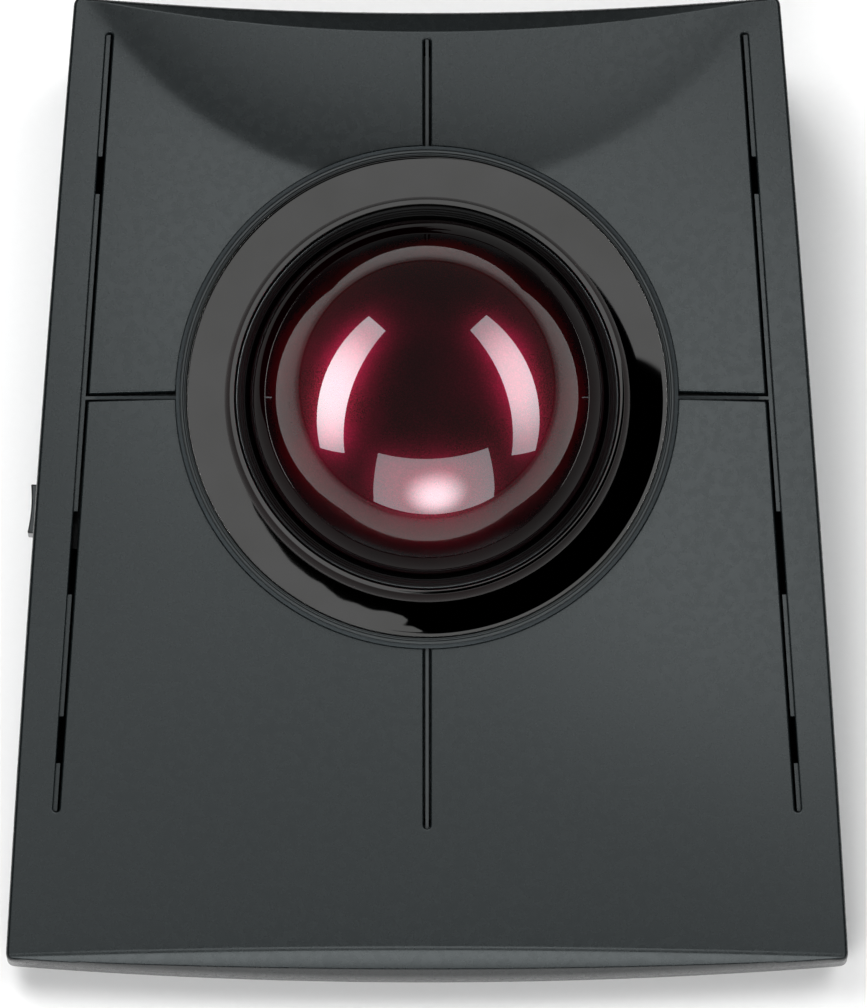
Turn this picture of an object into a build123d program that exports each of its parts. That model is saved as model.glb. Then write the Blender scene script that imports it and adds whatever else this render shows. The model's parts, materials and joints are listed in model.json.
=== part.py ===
"""Desktop trackball: a wedge-shaped cover with four hinged button plates round a 55 mm ball.

Millimetres. +Z is up and +Y points to the back of the device. The origin is on the table, under the
centre of the bounding box.
"""

import os
from math import cos, exp, hypot, pi, sin, sqrt

from build123d import *

# ---- Driving dimensions -------------------------------------------------------------------------
BALL_D = 55.0
BALL_Y = 13.3
BALL_TOP = 58.0
RING_TILT = 7.0  # the ring faces the user by this many degrees

FRONT_HALF_WIDTH = 65.5
MID_HALF_WIDTH = 60.65
BACK_HALF_WIDTH = 54.7
HALF_DEPTH = 75.0
FRONT_BULGE = 2.7
BACK_HOLLOW = 2.2
CORNER_R = 1.5
CORNER_LOSS = 0.114  # the corner radius takes this much off the depth at the back corners

RAMP_START = 22.3  # the deck rises from front to back and eases off over EASE_LENGTH
RAMP_SLOPE = 0.09
RAMP_EASE = 10.5
EASE_LENGTH = 45.0
CROWN_X = 55.0  # the crown is the deck's droop at this distance from the middle
CROWN_FRONT = -0.9
CROWN_SLOPE = -0.04
CROWN_CURVE = 0.0004
DISH_R = 62.0  # the dish behind the ball is bounded by a circle
DISH_Y = 108.0
DISH_SLOPE = 0.05
DISH_STEP = 1.44
DISH_STEP_LENGTH = 12.0
DECK_T = 2.4  # thickness of the deck and the button plates
SKIRT_T = 2.2
SKIRT_DROP = 6.5
TRAY_INSET = 3.0
TRAY_T = 2.0
FOOT_T = 1.2
FLOOR_TOP = FOOT_T + TRAY_T

SLOT_W = 1.0
SIDE_SLOT_BACK = (49.2, 69.5)
SIDE_SLOT_FRONT = (57.6, -51.0)
CROSS_SLOT_Y = 13.7
CROSS_SLOT_W = 1.1
HINGE_GAP = 0.06
BUTTON_ARC_R = 39.3

COLLAR_OUT_R = 38.9
COLLAR_IN_R = 37.4
BEZEL_OUT_R = 37.2
BEZEL_IN_R = 29.9
LIP_OUT_R = 29.6
LIP_TOP = -1.9
COLLAR_TOP = -0.3
COLLAR_BOTTOM = -14.0
FLANGE_TOP = -5.4
FLANGE_BOTTOM = -7.1
CUP_IN_R = 28.3
CUP_OUT_R = 29.8

BEARING_R = 1.25
BEARING_GAP = 0.03
BEARING_POLAR = 50.0
SENSOR_POLAR = 55.0

BOARD_BOTTOM = 6.0
BOARD_T = 1.6
BOARD_TOP = BOARD_BOTTOM + BOARD_T
SWITCH_SIZE = (5.8, 12.8, 6.5)
PLUNGER_H = 0.9
FRONT_SWITCH = (45.0, -5.0)
BACK_SWITCH = (45.0, 32.0)

LEG_CIRCLE_R = 41.0
LEG_R = 3.25
FRONT_LEG_TOP = 17.0
BACK_LEG_TOP = 24.0
FRONT_POST = (50.0, -60.0)
FRONT_POST_R = 3.0
SCREW_R = 1.0
PILOT_R = 1.06
CLEARANCE_R = 1.2
SCREW_HEAD_R = 2.2
SCREW_HEAD_H = 1.0
CUP_SCREW_R = 33.5
CUP_SCREW_ANGLES = (90, 210, 330)
SWITCH_POST_W = 4.0  # the square post under a button plate that works its microswitch

# ---- Worked-out values --------------------------------------------------------------------------
BALL_R = BALL_D / 2
BALL_Z = BALL_TOP - BALL_R
BALL_CENTRE = Vector(0, BALL_Y, BALL_Z)
TILT = RING_TILT * pi / 180
RING_PLANE = Plane(origin=BALL_CENTRE, x_dir=(1, 0, 0), z_dir=(0, -sin(TILT), cos(TILT)))
LEG_SPOTS = [
    (LEG_CIRCLE_R * sx * sqrt(0.5), BALL_Y + LEG_CIRCLE_R * sy * sqrt(0.5))
    for sx in (-1, 1)
    for sy in (-1, 1)
]
POST_SPOTS = [(sx * FRONT_POST[0], FRONT_POST[1]) for sx in (-1, 1)]
SIDES = {"left": -1, "right": 1}


def deck_height(x, y):
    """Height of the deck's top surface: a ramp that eases off, crowned in front, dished behind the ball."""
    along = y + HALF_DEPTH
    ramp = RAMP_START + RAMP_SLOPE * along - RAMP_EASE * exp(-along / EASE_LENGTH)
    crown = (CROWN_FRONT + CROWN_SLOPE * along + CROWN_CURVE * along**2) * (x / CROWN_X) ** 2
    reach = DISH_R - hypot(x, y - DISH_Y)
    inside = (reach + hypot(reach, 1.0)) / 2
    dish = DISH_SLOPE * inside + DISH_STEP * (1 - exp(-inside / DISH_STEP_LENGTH))
    return ramp + crown + dish


def deck_face(drop):
    """The deck's top surface, lowered by drop."""
    xs = [-70 + 5 * i for i in range(29)]
    ys = [-80 + 5 * j for j in range(33)]
    grid = [[Vector(x, y, deck_height(x, y) - drop) for y in ys] for x in xs]
    return Face.make_surface_from_array_of_points(grid, tol=0.02)


def half_width(y):
    """Half the cover's width at y, measured on the straight-line approximation of its side."""
    return MID_HALF_WIDTH - 0.0741 * y - 0.0000693 * y * y


def side_slot_x(y):
    """Distance of a side slot's centreline from the middle, at y."""
    x0, y0 = SIDE_SLOT_BACK
    x1, y1 = SIDE_SLOT_FRONT
    return x0 + (x1 - x0) * (y - y0) / (y1 - y0)


def outline(inset):
    """Plan outline of the cover, moved inwards by inset."""
    front_y = -HALF_DEPTH + FRONT_BULGE
    back_y = HALF_DEPTH + CORNER_LOSS
    with BuildSketch() as plan:
        with BuildLine():
            ThreePointArc((-FRONT_HALF_WIDTH, front_y), (0, -HALF_DEPTH), (FRONT_HALF_WIDTH, front_y))
            ThreePointArc((FRONT_HALF_WIDTH, front_y), (MID_HALF_WIDTH, 0), (BACK_HALF_WIDTH, back_y))
            ThreePointArc(
                (BACK_HALF_WIDTH, back_y), (0, HALF_DEPTH - BACK_HOLLOW), (-BACK_HALF_WIDTH, back_y)
            )
            ThreePointArc((-BACK_HALF_WIDTH, back_y), (-MID_HALF_WIDTH, 0), (-FRONT_HALF_WIDTH, front_y))
        make_face()
        if inset:
            offset(amount=-inset, kind=Kind.INTERSECTION)
        else:
            fillet(plan.vertices(), CORNER_R)
    return plan.sketch


def under_deck(plan, drop, bottom=-1.0):
    """The prism over a plan sketch, from bottom up to the deck surface lowered by drop."""
    with BuildPart() as block:
        with BuildSketch(Plane.XY.offset(bottom)):
            add(plan)
        extrude(amount=70)
        split(bisect_by=deck_face(drop), keep=Keep.BOTTOM)
    return block.part


def tube_on_ring(outer, inner, low, high):
    """A tube on the ring's axis, between two heights above the ball's centre."""
    with BuildPart() as tube:
        with BuildSketch(RING_PLANE.offset(low)):
            Circle(outer)
            if inner:
                Circle(inner, mode=Mode.SUBTRACT)
        extrude(amount=high - low)
    return tube.part


def radial_plane(polar, azimuth, distance):
    """A plane facing outwards from the ball's centre; polar is measured from straight down."""
    p, a = polar * pi / 180, azimuth * pi / 180
    out = Vector(sin(p) * cos(a), sin(p) * sin(a), -cos(p))
    across = Vector(-sin(a), cos(a), 0)
    return Plane(origin=BALL_CENTRE + out * distance, x_dir=across, z_dir=out)


def save(part, name):
    part.label = name
    export_step(part, f"parts/{name}.step")


os.makedirs("parts", exist_ok=True)

# ---- Deck: cover and button plates --------------------------------------------------------------
# The cover's window holds the button plates. It is as wide as the outer edges of the side slots.
with BuildSketch() as window:
    with BuildLine():
        back_x = side_slot_x(SIDE_SLOT_BACK[1]) + SLOT_W / 2
        front_x = side_slot_x(SIDE_SLOT_FRONT[1]) + SLOT_W / 2
        Polyline(
            (back_x, SIDE_SLOT_BACK[1]),
            (-back_x, SIDE_SLOT_BACK[1]),
            (-front_x, SIDE_SLOT_FRONT[1]),
            (front_x, SIDE_SLOT_FRONT[1]),
            close=True,
        )
    make_face()

with BuildPart() as top_cover:
    add(under_deck(outline(0), 0))
    add(under_deck(outline(SKIRT_T), DECK_T, bottom=-2), mode=Mode.SUBTRACT)
    split(bisect_by=deck_face(SKIRT_DROP), keep=Keep.TOP)
    with BuildSketch(Plane.XY):
        add(window.sketch)
    extrude(amount=70, mode=Mode.SUBTRACT)
    for spot in POST_SPOTS:
        with BuildSketch(Plane.XY.offset(FLOOR_TOP + 0.05)):
            with Locations(spot):
                Circle(FRONT_POST_R)
        extrude(amount=deck_height(*spot) - DECK_T - FLOOR_TOP + 0.6)
        with BuildSketch(Plane.XY.offset(FLOOR_TOP)):
            with Locations(spot):
                Circle(PILOT_R)
        extrude(amount=5.0, mode=Mode.SUBTRACT)
save(top_cover.part, "top_cover")


def button_plan(side, end):
    """Plan of one button plate: between the side slot, centre slot and cross slot, short of the collar."""
    hinge_y = SIDE_SLOT_BACK[1] - HINGE_GAP if end == "back" else SIDE_SLOT_FRONT[1] + HINGE_GAP
    free_y = CROSS_SLOT_Y + (1 if end == "back" else -1) * CROSS_SLOT_W / 2
    inner_x = side * SLOT_W / 2
    with BuildSketch() as plan:
        with BuildLine():
            Polyline(
                (inner_x, hinge_y),
                (side * (side_slot_x(hinge_y) - SLOT_W / 2), hinge_y),
                (side * (side_slot_x(free_y) - SLOT_W / 2), free_y),
                (inner_x, free_y),
                close=True,
            )
        make_face()
    return plan.sketch


clear_of_collar = tube_on_ring(BUTTON_ARC_R, 0, -30, 30)
for end in ("front", "back"):
    spot_x, spot_y = FRONT_SWITCH if end == "front" else BACK_SWITCH
    post_bottom = BOARD_TOP + SWITCH_SIZE[2] + PLUNGER_H + 0.05
    for side_name, side in SIDES.items():
        plan = button_plan(side, end)
        with BuildPart() as button:
            add(under_deck(plan, 0))
            add(under_deck(plan, DECK_T, bottom=-2), mode=Mode.SUBTRACT)
            add(clear_of_collar, mode=Mode.SUBTRACT)
            with BuildSketch(Plane.XY.offset(post_bottom)):
                with Locations((side * spot_x, spot_y)):
                    Rectangle(SWITCH_POST_W, SWITCH_POST_W)
            extrude(amount=deck_height(spot_x, spot_y) - DECK_T - post_bottom + 0.5)
        save(button.part, f"button_{end}_{side_name}")

# ---- Ball, cup, ring ----------------------------------------------------------------------------
with BuildPart() as trackball:
    with Locations(BALL_CENTRE):
        Sphere(BALL_R)
save(trackball.part, "trackball")

BEZEL_TOP = 0.8
BEZEL_CREST = 1.0
BEZEL_INNER_TOP = -0.4
BEZEL_INNER_BOTTOM = -2.4
BEZEL_BOTTOM = -5.2
BEZEL_WALL = 2.0
with BuildPart() as bezel_ring:
    with BuildSketch(Plane(origin=BALL_CENTRE, x_dir=(1, 0, 0), z_dir=(0, -cos(TILT), -sin(TILT)))):
        with BuildLine():
            Polyline(
                (BEZEL_OUT_R, BEZEL_BOTTOM),
                (BEZEL_OUT_R, BEZEL_TOP),
                (BEZEL_OUT_R - 0.5, BEZEL_CREST),
                (BEZEL_OUT_R - 0.9, BEZEL_TOP),
                (BEZEL_IN_R, BEZEL_INNER_TOP),
                (BEZEL_IN_R, BEZEL_INNER_BOTTOM),
                (BEZEL_OUT_R - BEZEL_WALL, BEZEL_INNER_BOTTOM),
                (BEZEL_OUT_R - BEZEL_WALL, BEZEL_BOTTOM),
                close=True,
            )
        make_face()
    revolve(axis=Axis(BALL_CENTRE, RING_PLANE.z_dir))
save(bezel_ring.part, "bezel_ring")

BEARINGS = {"back": 90, "front_left": 210, "front_right": 330}
BEARING_BOSS_R = 2.4
BEARING_BOSS_H = 3.2
SENSOR_HOLE_R = 2.2
with BuildPart() as ball_cup:
    with Locations(BALL_CENTRE):
        Sphere(CUP_OUT_R)
    add(tube_on_ring(COLLAR_IN_R - 0.4, 0, FLANGE_BOTTOM, FLANGE_TOP))
    add(tube_on_ring(LIP_OUT_R, 0, FLANGE_TOP, LIP_TOP))
    for azimuth in BEARINGS.values():
        with BuildSketch(radial_plane(BEARING_POLAR, azimuth, CUP_IN_R)):
            Circle(BEARING_BOSS_R)
        extrude(amount=BEARING_BOSS_H)
    split(bisect_by=RING_PLANE.offset(LIP_TOP), keep=Keep.BOTTOM)
    add(tube_on_ring(LIP_OUT_R + 5, LIP_OUT_R, FLANGE_TOP, 2.0), mode=Mode.SUBTRACT)
    with Locations(BALL_CENTRE):
        Sphere(CUP_IN_R, mode=Mode.SUBTRACT)
    for azimuth in BEARINGS.values():
        with BuildSketch(radial_plane(BEARING_POLAR, azimuth, BALL_R - 1)):
            Circle(BEARING_R + 0.03)
        extrude(amount=2 * BEARING_R + BEARING_GAP + 1.03, mode=Mode.SUBTRACT)
    for azimuth in (180, 0):
        with BuildSketch(radial_plane(SENSOR_POLAR, azimuth, CUP_IN_R - 2)):
            Circle(SENSOR_HOLE_R)
        extrude(amount=6, mode=Mode.SUBTRACT)
    for azimuth in CUP_SCREW_ANGLES:
        with BuildSketch(RING_PLANE.offset(-8)):
            with PolarLocations(CUP_SCREW_R, 1, start_angle=azimuth):
                Circle(1.1)
        extrude(amount=3, mode=Mode.SUBTRACT)
    split(bisect_by=Plane.XY.offset(FOOT_T), keep=Keep.TOP)
save(ball_cup.part, "ball_cup")

for name, azimuth in BEARINGS.items():
    spot = radial_plane(BEARING_POLAR, azimuth, BALL_R + BEARING_R + BEARING_GAP).origin
    with BuildPart() as bearing:
        with Locations(spot):
            Sphere(BEARING_R)
    save(bearing.part, f"bearing_{name}")

# ---- Sensors ------------------------------------------------------------------------------------
LENS_R = 2.1
LENS_FLANGE_R = 3.2
SENSOR_CHIP = (7, 6)
SENSOR_BOARD = (13, 11)
for side_name, azimuth in (("left", 180), ("right", 0)):
    with BuildPart() as lens:
        with BuildSketch(radial_plane(SENSOR_POLAR, azimuth, CUP_IN_R + 0.4)):
            Circle(LENS_R)
        extrude(amount=2.0)
        with BuildSketch(radial_plane(SENSOR_POLAR, azimuth, CUP_OUT_R + 0.15)):
            Circle(LENS_FLANGE_R)
        extrude(amount=1.2)
    save(lens.part, f"sensor_lens_{side_name}")
    with BuildPart() as sensor_board:
        with BuildSketch(radial_plane(SENSOR_POLAR, azimuth, CUP_OUT_R + 1.4)):
            Rectangle(*SENSOR_CHIP)
        extrude(amount=1.6)
        with BuildSketch(radial_plane(SENSOR_POLAR, azimuth, CUP_OUT_R + 3.0)):
            RectangleRounded(*SENSOR_BOARD, 1)
        extrude(amount=1.0)
    save(sensor_board.part, f"sensor_board_{side_name}")

# ---- Inner frame --------------------------------------------------------------------------------
RIB_DROP = 4.0  # the ribs lie this far below the deck, under the slots
RIB_W = 3.0
CROSS_RIB_DEPTH = 5.0
SPINE_DEPTH = 3.2
SPINE_LENGTH = 117.0
BLADE_DROP = 0.6
BLADE_W = 0.4
CROSS_LENGTH = 103.0
SPINE_Y = 8.0
LEDGE_IN_R = 31.0  # the ledge that carries the cup's flange
LEDGE_T = 2.05
LEG_PILOT_DEPTH = 8.0


def strip_under_deck(length_x, length_y, y, drop, depth):
    """A straight rib of the frame that follows the deck from below."""
    with BuildSketch() as plan:
        with Locations((0, y)):
            Rectangle(length_x, length_y)
    with BuildPart() as strip:
        add(under_deck(plan.sketch, drop))
        add(under_deck(plan.sketch, drop + depth, bottom=-2), mode=Mode.SUBTRACT)
    return strip.part


ribs = [
    strip_under_deck(CROSS_LENGTH, RIB_W, CROSS_SLOT_Y, RIB_DROP, CROSS_RIB_DEPTH),
    strip_under_deck(RIB_W, SPINE_LENGTH, SPINE_Y, RIB_DROP, SPINE_DEPTH),
    strip_under_deck(CROSS_LENGTH, BLADE_W, CROSS_SLOT_Y, BLADE_DROP, CROSS_RIB_DEPTH),
]
with BuildPart() as inner_frame:
    for rib in ribs:
        add(rib)
    add(tube_on_ring(COLLAR_OUT_R, 0, COLLAR_BOTTOM, 30), mode=Mode.SUBTRACT)
    add(tube_on_ring(COLLAR_OUT_R + 0.02, COLLAR_IN_R, COLLAR_BOTTOM, COLLAR_TOP))
    add(tube_on_ring(COLLAR_IN_R + 0.2, LEDGE_IN_R, FLANGE_BOTTOM - 0.05 - LEDGE_T, FLANGE_BOTTOM - 0.05))
    for spot in LEG_SPOTS:
        with BuildSketch(Plane.XY.offset(FLOOR_TOP + 0.02)):
            with Locations(spot):
                Circle(LEG_R)
        extrude(amount=(BACK_LEG_TOP if spot[1] > BALL_Y else FRONT_LEG_TOP) - FLOOR_TOP)
        with BuildSketch(Plane.XY.offset(FLOOR_TOP)):
            with Locations(spot):
                Circle(PILOT_R)
        extrude(amount=LEG_PILOT_DEPTH, mode=Mode.SUBTRACT)
    for azimuth in CUP_SCREW_ANGLES:
        with BuildSketch(RING_PLANE.offset(-10)):
            with PolarLocations(CUP_SCREW_R, 1, start_angle=azimuth):
                Circle(PILOT_R)
        extrude(amount=4, mode=Mode.SUBTRACT)
save(inner_frame.part, "inner_frame")

# ---- Base tray ----------------------------------------------------------------------------------
TRAY_TOP_DROP = 3.2
SOCKET_SIZE = (8.94, 7.3, 3.2)
LOCK_X, LOCK_Z = 30.0, 12.0
LOCK_SLOT = (7.0, 3.0)
BAY_X, BAY_Z = -30.0, 14.0
RECEIVER_SIZE = (14.6, 19.0, 6.4)
BAY_SIZE = (17.2, 20.4, 9.0)
MODE_Y, MODE_Z = -2.2, 14.0
BOARD_SCREW_SPOTS = [(sx * 44, y) for sx in (-1, 1) for y in (-18, 50)]
UNDER_BUTTON_SPOTS = {"dpi_button": (-14.0, 53.0), "pairing_button": (14.0, 53.0)}
LIGHT_SPOT = (0.0, 53.0)
LIGHT_R = 1.2
FLOOR_HOLE_R = 13.0  # the cup's bottom stands in this hole
CAP_R = 3.0
BOARD_BOSS_R = 2.6
SWITCH_WINDOW = (8.6, 2.6)
WALL_CUT = 10.0  # longer than the back wall is thick


def back_wall_y(x):
    """Outer face of the tray's back wall at x."""
    return HALF_DEPTH - BACK_HOLLOW * (1 - (x / BACK_HALF_WIDTH) ** 2) - TRAY_INSET


SIDE_SLOPE = 0.0741
SWITCH_WALL_X = -(half_width(MODE_Y) - TRAY_INSET)
SWITCH_PLANE = Plane(
    origin=(SWITCH_WALL_X, MODE_Y, MODE_Z), x_dir=(SIDE_SLOPE, 1, 0), z_dir=(-1, SIDE_SLOPE, 0)
)

with BuildPart() as base_tray:
    add(under_deck(outline(TRAY_INSET), TRAY_TOP_DROP))
    add(under_deck(outline(TRAY_INSET + TRAY_T), -20, bottom=FLOOR_TOP), mode=Mode.SUBTRACT)
    split(bisect_by=Plane.XY.offset(FOOT_T), keep=Keep.TOP)
    with BuildSketch(Plane.XY):
        with Locations((0, BALL_Y)):
            Circle(FLOOR_HOLE_R)
        for spot in UNDER_BUTTON_SPOTS.values():
            with Locations(spot):
                Circle(CAP_R + 0.15)
        with Locations(LIGHT_SPOT):
            Circle(LIGHT_R + 0.05)
        for spot in LEG_SPOTS + POST_SPOTS:
            with Locations(spot):
                Circle(CLEARANCE_R)
    extrude(amount=5, mode=Mode.SUBTRACT)
    with BuildSketch(Plane.XY):
        for spot in LEG_SPOTS + POST_SPOTS:
            with Locations(spot):
                Circle(SCREW_HEAD_R + 0.2)
    extrude(amount=FOOT_T + SCREW_HEAD_H + 0.1, mode=Mode.SUBTRACT)
    with Locations((0, 68, BOARD_TOP + SOCKET_SIZE[2] / 2)):
        Box(SOCKET_SIZE[0] + 0.6, WALL_CUT, SOCKET_SIZE[2] + 0.6, mode=Mode.SUBTRACT)
    with Locations((LOCK_X, 70, LOCK_Z)):
        Box(LOCK_SLOT[0] + 0.4, WALL_CUT, LOCK_SLOT[1] + 0.4, mode=Mode.SUBTRACT)
    with Locations((BAY_X, 70, BAY_Z)):
        Box(BAY_SIZE[0] + 0.4, WALL_CUT, BAY_SIZE[2] + 0.4, mode=Mode.SUBTRACT)
    with BuildSketch(SWITCH_PLANE.offset(-5)):
        Rectangle(*SWITCH_WINDOW)
    extrude(amount=8, mode=Mode.SUBTRACT)
    for spot in BOARD_SCREW_SPOTS:
        with BuildSketch(Plane.XY.offset(FLOOR_TOP - 0.5)):
            with Locations(spot):
                Circle(BOARD_BOSS_R)
        extrude(amount=BOARD_BOTTOM - FLOOR_TOP + 0.5)
        with BuildSketch(Plane.XY.offset(FLOOR_TOP + 0.3)):
            with Locations(spot):
                Circle(PILOT_R)
        extrude(amount=4, mode=Mode.SUBTRACT)
save(base_tray.part, "base_tray")

# ---- Main board and what it carries -------------------------------------------------------------
BOARD_SIZE = (98.0, 86.0)
BOARD_Y = 21.0
BOARD_HOLE_R = 34.5
with BuildPart() as main_board:
    with BuildSketch(Plane.XY.offset(BOARD_BOTTOM)):
        with Locations((0, BOARD_Y)):
            RectangleRounded(*BOARD_SIZE, 3)
        with Locations((0, BALL_Y)):
            Circle(BOARD_HOLE_R, mode=Mode.SUBTRACT)
        for spot in LEG_SPOTS:
            with Locations(spot):
                Circle(LEG_R + 0.3, mode=Mode.SUBTRACT)
        for spot in BOARD_SCREW_SPOTS:
            with Locations(spot):
                Circle(CLEARANCE_R + 0.05, mode=Mode.SUBTRACT)
    extrude(amount=BOARD_T)
save(main_board.part, "main_board")

PLUNGER_SIZE = (2.1, 3.1, 2.0)
PLUNGER_WELL = (2.2, 3.2, 4.0)
for end, (spot_x, spot_y) in (("front", FRONT_SWITCH), ("back", BACK_SWITCH)):
    for side_name, side in SIDES.items():
        with BuildPart() as microswitch:
            with Locations((side * spot_x, spot_y, BOARD_TOP + SWITCH_SIZE[2] / 2)):
                Box(*SWITCH_SIZE)
            with Locations((side * spot_x, spot_y, BOARD_TOP + SWITCH_SIZE[2])):
                Box(*PLUNGER_WELL, mode=Mode.SUBTRACT)
        save(microswitch.part, f"microswitch_{end}_{side_name}")
        with BuildPart() as plunger:
            plunger_z = BOARD_TOP + SWITCH_SIZE[2] + PLUNGER_H - PLUNGER_SIZE[2] / 2
            with Locations((side * spot_x, spot_y, plunger_z)):
                Box(*PLUNGER_SIZE)
        save(plunger.part, f"plunger_{end}_{side_name}")

SOCKET_MOUTH_Y = 69.4
SOCKET_WALL = 0.3
TONGUE_SIZE = (6.6, 6.0, 0.7)
socket_mouth = Plane(
    origin=(0, SOCKET_MOUTH_Y, BOARD_TOP + SOCKET_SIZE[2] / 2), x_dir=(1, 0, 0), z_dir=(0, -1, 0)
)
with BuildPart() as usb_c_socket:
    with BuildSketch(socket_mouth):
        SlotOverall(SOCKET_SIZE[0], SOCKET_SIZE[2] - 0.02)
    extrude(amount=SOCKET_SIZE[1])
    with BuildSketch(socket_mouth):
        SlotOverall(SOCKET_SIZE[0] - 2 * SOCKET_WALL, SOCKET_SIZE[2] - 2 * SOCKET_WALL)
    extrude(amount=SOCKET_SIZE[1] - 1.0, mode=Mode.SUBTRACT)
    with Locations((0, 65.7, BOARD_TOP + SOCKET_SIZE[2] / 2)):
        Box(*TONGUE_SIZE)
save(usb_c_socket.part, "usb_c_socket")

BATTERY_SIZE = (48.0, 30.0, 5.4)
BATTERY_Y = -46.0
with BuildPart() as battery:
    with BuildSketch(Plane.XY.offset(FLOOR_TOP + 0.2)):
        with Locations((0, BATTERY_Y)):
            RectangleRounded(BATTERY_SIZE[0], BATTERY_SIZE[1], 3)
    extrude(amount=BATTERY_SIZE[2])
save(battery.part, "battery")

# ---- Back wall: lock bracket, receiver and its bay ----------------------------------------------
BRACKET_Y = 64.6
BRACKET_SIZE = (14.0, 1.6, 8.0)
with BuildPart() as lock_bracket:
    with Locations((LOCK_X, BRACKET_Y, LOCK_Z)):
        Box(*BRACKET_SIZE)
    with Locations((LOCK_X, BRACKET_Y, LOCK_Z)):
        Box(LOCK_SLOT[0], 4, LOCK_SLOT[1], mode=Mode.SUBTRACT)
save(lock_bracket.part, "lock_bracket")

BAY_MOUTH_Y = back_wall_y(BAY_X + BAY_SIZE[0] / 2) - 0.2
with BuildPart() as receiver_bay:
    with Locations((BAY_X, BAY_MOUTH_Y - BAY_SIZE[1] / 2, BAY_Z)):
        Box(*BAY_SIZE)
    with Locations((BAY_X, BAY_MOUTH_Y - BAY_SIZE[1] / 2 + 1.0, BAY_Z)):
        Box(RECEIVER_SIZE[0] + 0.2, BAY_SIZE[1], RECEIVER_SIZE[2] + 0.2, mode=Mode.SUBTRACT)
save(receiver_bay.part, "receiver_bay")

RECEIVER_GRIP = 6.5
PLUG_SIZE = (12.0, 12.0, 4.5)
with BuildPart() as usb_receiver:
    with Locations((BAY_X, BAY_MOUTH_Y - RECEIVER_GRIP / 2, BAY_Z)):
        Box(RECEIVER_SIZE[0], RECEIVER_GRIP, RECEIVER_SIZE[2])
    with Locations((BAY_X, BAY_MOUTH_Y - RECEIVER_GRIP - PLUG_SIZE[1] / 2, BAY_Z)):
        Box(*PLUG_SIZE)
    chamfer(usb_receiver.faces().sort_by(Axis.Y)[-1].edges(), 0.5)
save(usb_receiver.part, "usb_receiver")

# ---- Mode switch on the left side ---------------------------------------------------------------
KNOB_OUT = 4.1
KNOB_SIZE = (7.7, 5.0)
THUMB_R = 7.6  # the hollow for the finger
THUMB_DEPTH = 0.8
STEM_SIZE = (4.0, 2.2)
with BuildPart() as mode_slider:
    with BuildSketch(SWITCH_PLANE.offset(0.15)):
        Rectangle(*KNOB_SIZE)
    extrude(amount=KNOB_OUT - 0.15)
    with BuildSketch(Plane(origin=SWITCH_PLANE.origin, x_dir=SWITCH_PLANE.x_dir, z_dir=(0, 0, 1))):
        with Locations((0, KNOB_OUT + THUMB_R - THUMB_DEPTH)):
            Circle(THUMB_R)
    extrude(amount=10, both=True, mode=Mode.SUBTRACT)
    with BuildSketch(SWITCH_PLANE.offset(-3.4)):
        Rectangle(*STEM_SIZE)
    extrude(amount=3.7)
save(mode_slider.part, "mode_slider")

SWITCH_BODY_SIZE = (12.0, 5.4, 4.3)
with BuildPart() as mode_switch_body:
    with BuildSketch(SWITCH_PLANE.offset(-6.6)):
        Rectangle(SWITCH_BODY_SIZE[0], SWITCH_BODY_SIZE[1])
    extrude(amount=SWITCH_BODY_SIZE[2])
    with BuildSketch(SWITCH_PLANE.offset(-4.0)):
        Rectangle(*SWITCH_WINDOW)
    extrude(amount=4.0, mode=Mode.SUBTRACT)
save(mode_switch_body.part, "mode_switch_body")

# ---- Underside: small buttons, light pipe, feet, screws -----------------------------------------
CAP_TOP = 5.0
CAP_FLANGE_R = 3.9
CAP_FLANGE_T = 0.8
for name, spot in UNDER_BUTTON_SPOTS.items():
    with BuildPart() as cap:
        with BuildSketch(Plane.XY.offset(FOOT_T - 0.3)):
            with Locations(spot):
                Circle(CAP_R)
        extrude(amount=CAP_TOP - FOOT_T + 0.3)
        with BuildSketch(Plane.XY.offset(FLOOR_TOP + 0.03)):
            with Locations(spot):
                Circle(CAP_FLANGE_R)
        extrude(amount=CAP_FLANGE_T)
        chamfer(cap.faces().sort_by(Axis.Z)[0].edges(), 0.3)
    save(cap.part, name)

TACT_SIZE = (4.2, 3.2)
with BuildPart() as tact_switches:
    for spot in UNDER_BUTTON_SPOTS.values():
        with BuildSketch(Plane.XY.offset(CAP_TOP + 0.45)):
            with Locations(spot):
                Rectangle(*TACT_SIZE)
        extrude(amount=BOARD_BOTTOM - CAP_TOP - 0.45)
save(tact_switches.part, "tact_switches")

LIGHT_PIPE_H = 4.2
with BuildPart() as status_light_pipe:
    with BuildSketch(Plane.XY.offset(FOOT_T)):
        with Locations(LIGHT_SPOT):
            Circle(LIGHT_R)
    extrude(amount=LIGHT_PIPE_H)
save(status_light_pipe.part, "status_light_pipe")

FOOT_SIZE = (18.0, 7.0)
FEET = {
    "foot_front_left": (-50, -61),
    "foot_front_right": (50, -61),
    "foot_back_left": (-40, 62.5),
    "foot_back_right": (40, 62.5),
}
for name, spot in FEET.items():
    with BuildPart() as foot:
        with BuildSketch():
            with Locations(spot):
                SlotOverall(*FOOT_SIZE)
        extrude(amount=FOOT_T)
        chamfer(foot.faces().sort_by(Axis.Z)[0].edges(), 0.25)
    save(foot.part, name)


def screw(plane, spots, head_r, head_h, length):
    """Pan-head screws whose heads sit on the plane's origin height and whose shanks follow its normal."""
    with BuildPart() as screws:
        with BuildSketch(plane):
            for spot in spots:
                with Locations(spot):
                    Circle(head_r)
        extrude(amount=head_h)
        with BuildSketch(plane):
            for spot in spots:
                with Locations(spot):
                    Circle(SCREW_R)
        extrude(amount=length)
        with BuildSketch(plane):
            for spot in spots:
                with Locations(spot):
                    Rectangle(2.4, 0.5)
                    Rectangle(0.5, 2.4)
        extrude(amount=head_h * 0.5, mode=Mode.SUBTRACT)
    return screws.part


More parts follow.
